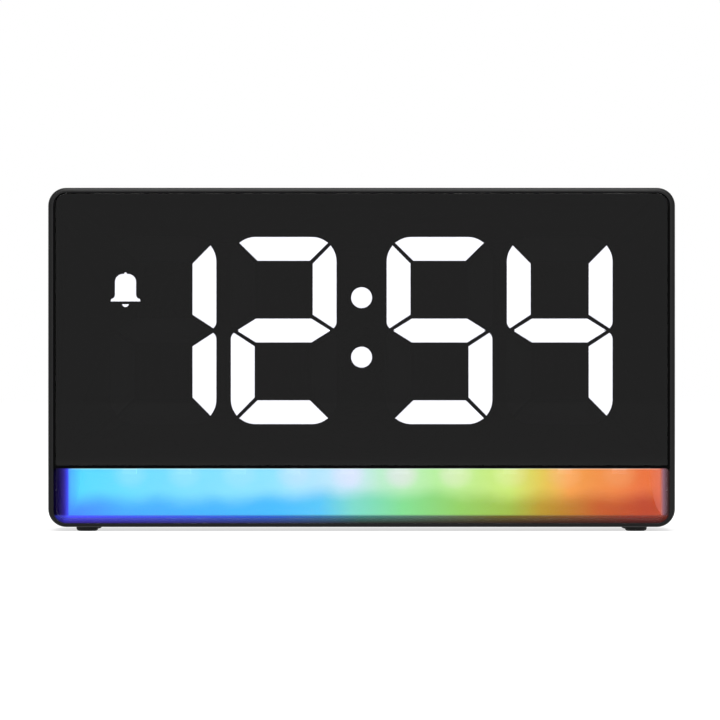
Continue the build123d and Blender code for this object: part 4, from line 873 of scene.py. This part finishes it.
def colour_lamps():
    """The row of lamps over the scoop."""
    middle = (LAMPS_LOW + LAMPS_HIGH) / 2
    size = LAMPS_HIGH - LAMPS_LOW
    places = [(FIRST_LAMP + number * LAMP_PITCH, middle.y, middle.z) for number in range(LAMP_COUNT)]
    values = {"Length": LAMP_LENGTH_MM * MM, "Width": size.y, "Height": size.z}
    shape_piece("colour_lamps", lamp_tree(LAMPS), values, places, "clock", "mood_leds")


def contact_tree(material):
    """A flat gold contact strip."""
    graph, given, out = shape_tree("contact_strip", [("Size", "NodeSocketVector")])
    strip = graph.add("GeometryNodeMeshCube", {"Size": given["Size"]}).outputs["Mesh"]
    return close_tree(graph, on_points(graph, given["Geometry"], strip), material, out)


def inlet_contacts():
    """The gold contacts on both faces of the power inlet's tongue."""
    low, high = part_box("power_socket_tongue")
    first = (low.x + high.x) / 2 - (CONTACT_COUNT - 1) / 2 * CONTACT_PITCH_MM * MM
    places = [(first + number * CONTACT_PITCH_MM * MM, high.y - CONTACT_INSET_MM * MM, z)
              for number in range(CONTACT_COUNT) for z in (low.z, high.z)]
    values = {"Size": tuple(side * MM for side in CONTACT_SIZE_MM)}
    shape_piece("inlet_contacts", contact_tree(GOLD), values, places, "clock", None)


# Dark felt round the window that stands in for shade, and marks by the alarm switch

def felt_strip(work, low, high):
    """One strip of felt between two corners, with soft edges."""
    made = bmesh.ops.create_cube(work, size=1.0)["verts"]
    bmesh.ops.scale(work, vec=high - low, verts=made)
    bmesh.ops.translate(work, vec=(low + high) / 2, verts=made)
    edges = {edge for vert in made for edge in vert.link_edges}
    bmesh.ops.bevel(work, geom=list(edges), offset=FELT_EDGE_MM * MM, segments=2, affect="EDGES")


def shade_felt():
    """Black felt strips between the bar and the window and in the grooves at the window's sides: dark sheets
    that stand in for the shade there, painted shade.
    """
    slack, thickness = FELT_SLACK_MM * MM, FELT_THICKNESS_MM * MM
    low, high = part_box("display_window")
    groove_top = high.z - GROOVE_FELT_DROP_MM * MM
    bar_y = LENS_LOW.y + BAR_FELT_DEPTH_MM * MM
    groove_y = low.y + GROOVE_FELT_DEPTH_MM * MM
    work = bmesh.new()
    felt_strip(work, Vector((LENS_LOW.x, bar_y, LENS_HIGH.z + slack)),
               Vector((LENS_HIGH.x, bar_y + thickness, low.z - slack)))
    for near, far in ((high.x + slack, LENS_HIGH.x + slack), (LENS_LOW.x - slack, low.x - slack)):
        felt_strip(work, Vector((near, groove_y, low.z)), Vector((far, groove_y + thickness, groove_top)))
    mesh = bpy.data.meshes.new("shade_felt")
    work.to_mesh(mesh)
    work.free()
    mesh.materials.append(SHADE_FELT)
    piece = new_object("shade_felt", mesh)
    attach(piece, "clock")


def switch_mark(name, words, x, z):
    """A printed word on the rear cover, read from behind."""
    curve = bpy.data.curves.new(name, "FONT")
    curve.body = words
    curve.size = MARK_SIZE_MM * MM
    curve.align_x, curve.align_y = "CENTER", "CENTER"
    curve.extrude = MARK_RELIEF_MM * MM
    text = new_object(f"{name}_text", curve)
    bpy.context.view_layer.update()
    mesh = shown_mesh(text)
    bpy.data.objects.remove(text)
    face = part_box("housing")[1].y - COVER_RECESS_MM * MM
    turned = Matrix.Rotation(math.pi, 4, "Z") @ Matrix.Rotation(math.pi / 2, 4, "X")
    mesh.transform(Matrix.Translation((x, face, z)) @ turned)
    mesh.materials.append(PLAIN_MOULDING)
    piece = new_object(name, mesh)
    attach(piece, "clock")


def switch_marks():
    """ON and OFF beside the sliding switch; the clock rests with its alarm on."""
    low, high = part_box("alarm_switch_knob")
    middle, reach = (low + high) / 2, MARK_REACH_MM * MM
    switch_mark("on_mark", "ON", middle.x - reach, middle.z)
    switch_mark("off_mark", "OFF", middle.x + reach + OFF_MARK_EXTRA_MM * MM, middle.z)


# Stage, light and camera

def seen_directly(graph):
    """1 where the background is seen itself, or in metal and through glass."""
    path = graph.add("ShaderNodeLightPath").outputs
    seen = graph.maths("MAXIMUM", path["Is Camera Ray"], path["Is Glossy Ray"])
    return graph.maths("MAXIMUM", seen, path["Is Transmission Ray"])


def floor_material():
    """Pale grey that takes a shadow, lifted to white where the eye meets it."""
    material = bpy.data.materials.new("floor")
    material.use_nodes = True
    graph = Graph(material.node_tree)
    graph.tree.nodes.clear()
    place = graph.place()
    grain = graph.mix(graph.noise(place, FLOOR_GRAIN_SIZE), linear("a2a2a2"), linear("a6a6a6"))
    body = graph.add("ShaderNodeBsdfDiffuse", {"Color": grain}).outputs["BSDF"]
    away = graph.add("ShaderNodeVectorMath", {0: place}, operation="LENGTH").outputs["Value"]
    level = graph.spread(away, FLOOR_NEAR, FLOOR_FAR, FLOOR_NEAR_GLOW, FLOOR_FAR_GLOW)
    glow = graph.add("ShaderNodeEmission", {"Strength": graph.maths("MULTIPLY", seen_directly(graph), level)})
    both = graph.add("ShaderNodeAddShader", {0: body, 1: glow.outputs["Emission"]}).outputs["Shader"]
    graph.add("ShaderNodeOutputMaterial", {"Surface": both})
    return material


def white_floor():
    """A pale floor that keeps the clock's soft shadow."""
    mesh = bpy.data.meshes.new("floor")
    side = FLOOR_HALF_SIDE
    corners = [(-side, -side, 0), (side, -side, 0), (side, side, 0), (-side, side, 0)]
    mesh.from_pydata(corners, [], [(0, 1, 2, 3)])
    mesh.materials.append(floor_material())
    floor = new_object("floor", mesh)


def studio_world():
    """A white surround that lights the clock a little less than it shows."""
    world = bpy.data.worlds.new("studio")
    world.use_nodes = True
    bpy.context.scene.world = world
    graph = Graph(world.node_tree)
    background = world.node_tree.nodes["Background"].inputs
    graph.put(background["Color"], linear("ffffff"))
    strength = graph.spread(seen_directly(graph), 0.0, 1.0, WORLD_LIGHT, WORLD_SEEN, smooth=False)
    graph.put(background["Strength"], strength)


def soft_light(name, place, size, watts):
    """A broad lamp that faces the clock."""
    lamp = bpy.data.lights.new(name, "AREA")
    lamp.shape = "RECTANGLE"
    lamp.size, lamp.size_y = size
    lamp.energy = watts
    holder = new_object(name, lamp)
    holder.location = place
    holder.rotation_euler = (LIGHTS_AIM - holder.location).to_track_quat("-Z", "Y").to_euler()
    holder.visible_camera = False


def photo_camera():
    """A long lens, square to the front, that frames the clock as the photograph does."""
    middle = PHOTO_SIDE / 2
    camera = bpy.data.cameras.new("camera")
    camera.sensor_width = SENSOR_WIDTH
    camera.lens = SENSOR_WIDTH * CAMERA_DISTANCE / (PHOTO_SIDE * MM_PER_PIXEL * MM)
    camera.clip_start, camera.clip_end = CLIP_START, CLIP_END
    holder = new_object("camera", camera)
    x = (middle - BODY_CENTRE_PIXEL_X) * MM_PER_PIXEL * MM
    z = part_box("housing")[0].z + (BODY_FOOT_PIXEL_Y - middle) * MM_PER_PIXEL * MM
    holder.location = (x, model_box[0].y - CAMERA_DISTANCE, z)
    holder.rotation_euler = (math.pi / 2, 0, 0)
    bpy.context.scene.camera = holder


dress_nodes()
display_diffusers()
rubber_feet()
colour_lamps()
shade_felt()
inlet_contacts()
switch_marks()
white_floor()
studio_world()
soft_light("key_light", place=(0.0, -0.75, 0.8), size=(0.7, 1.1), watts=19.0)
soft_light("rear_light", place=(0.0, 0.8, 0.8), size=(1.0, 0.6), watts=6.0)
photo_camera()
bpy.context.scene.view_settings.view_transform = "Standard"
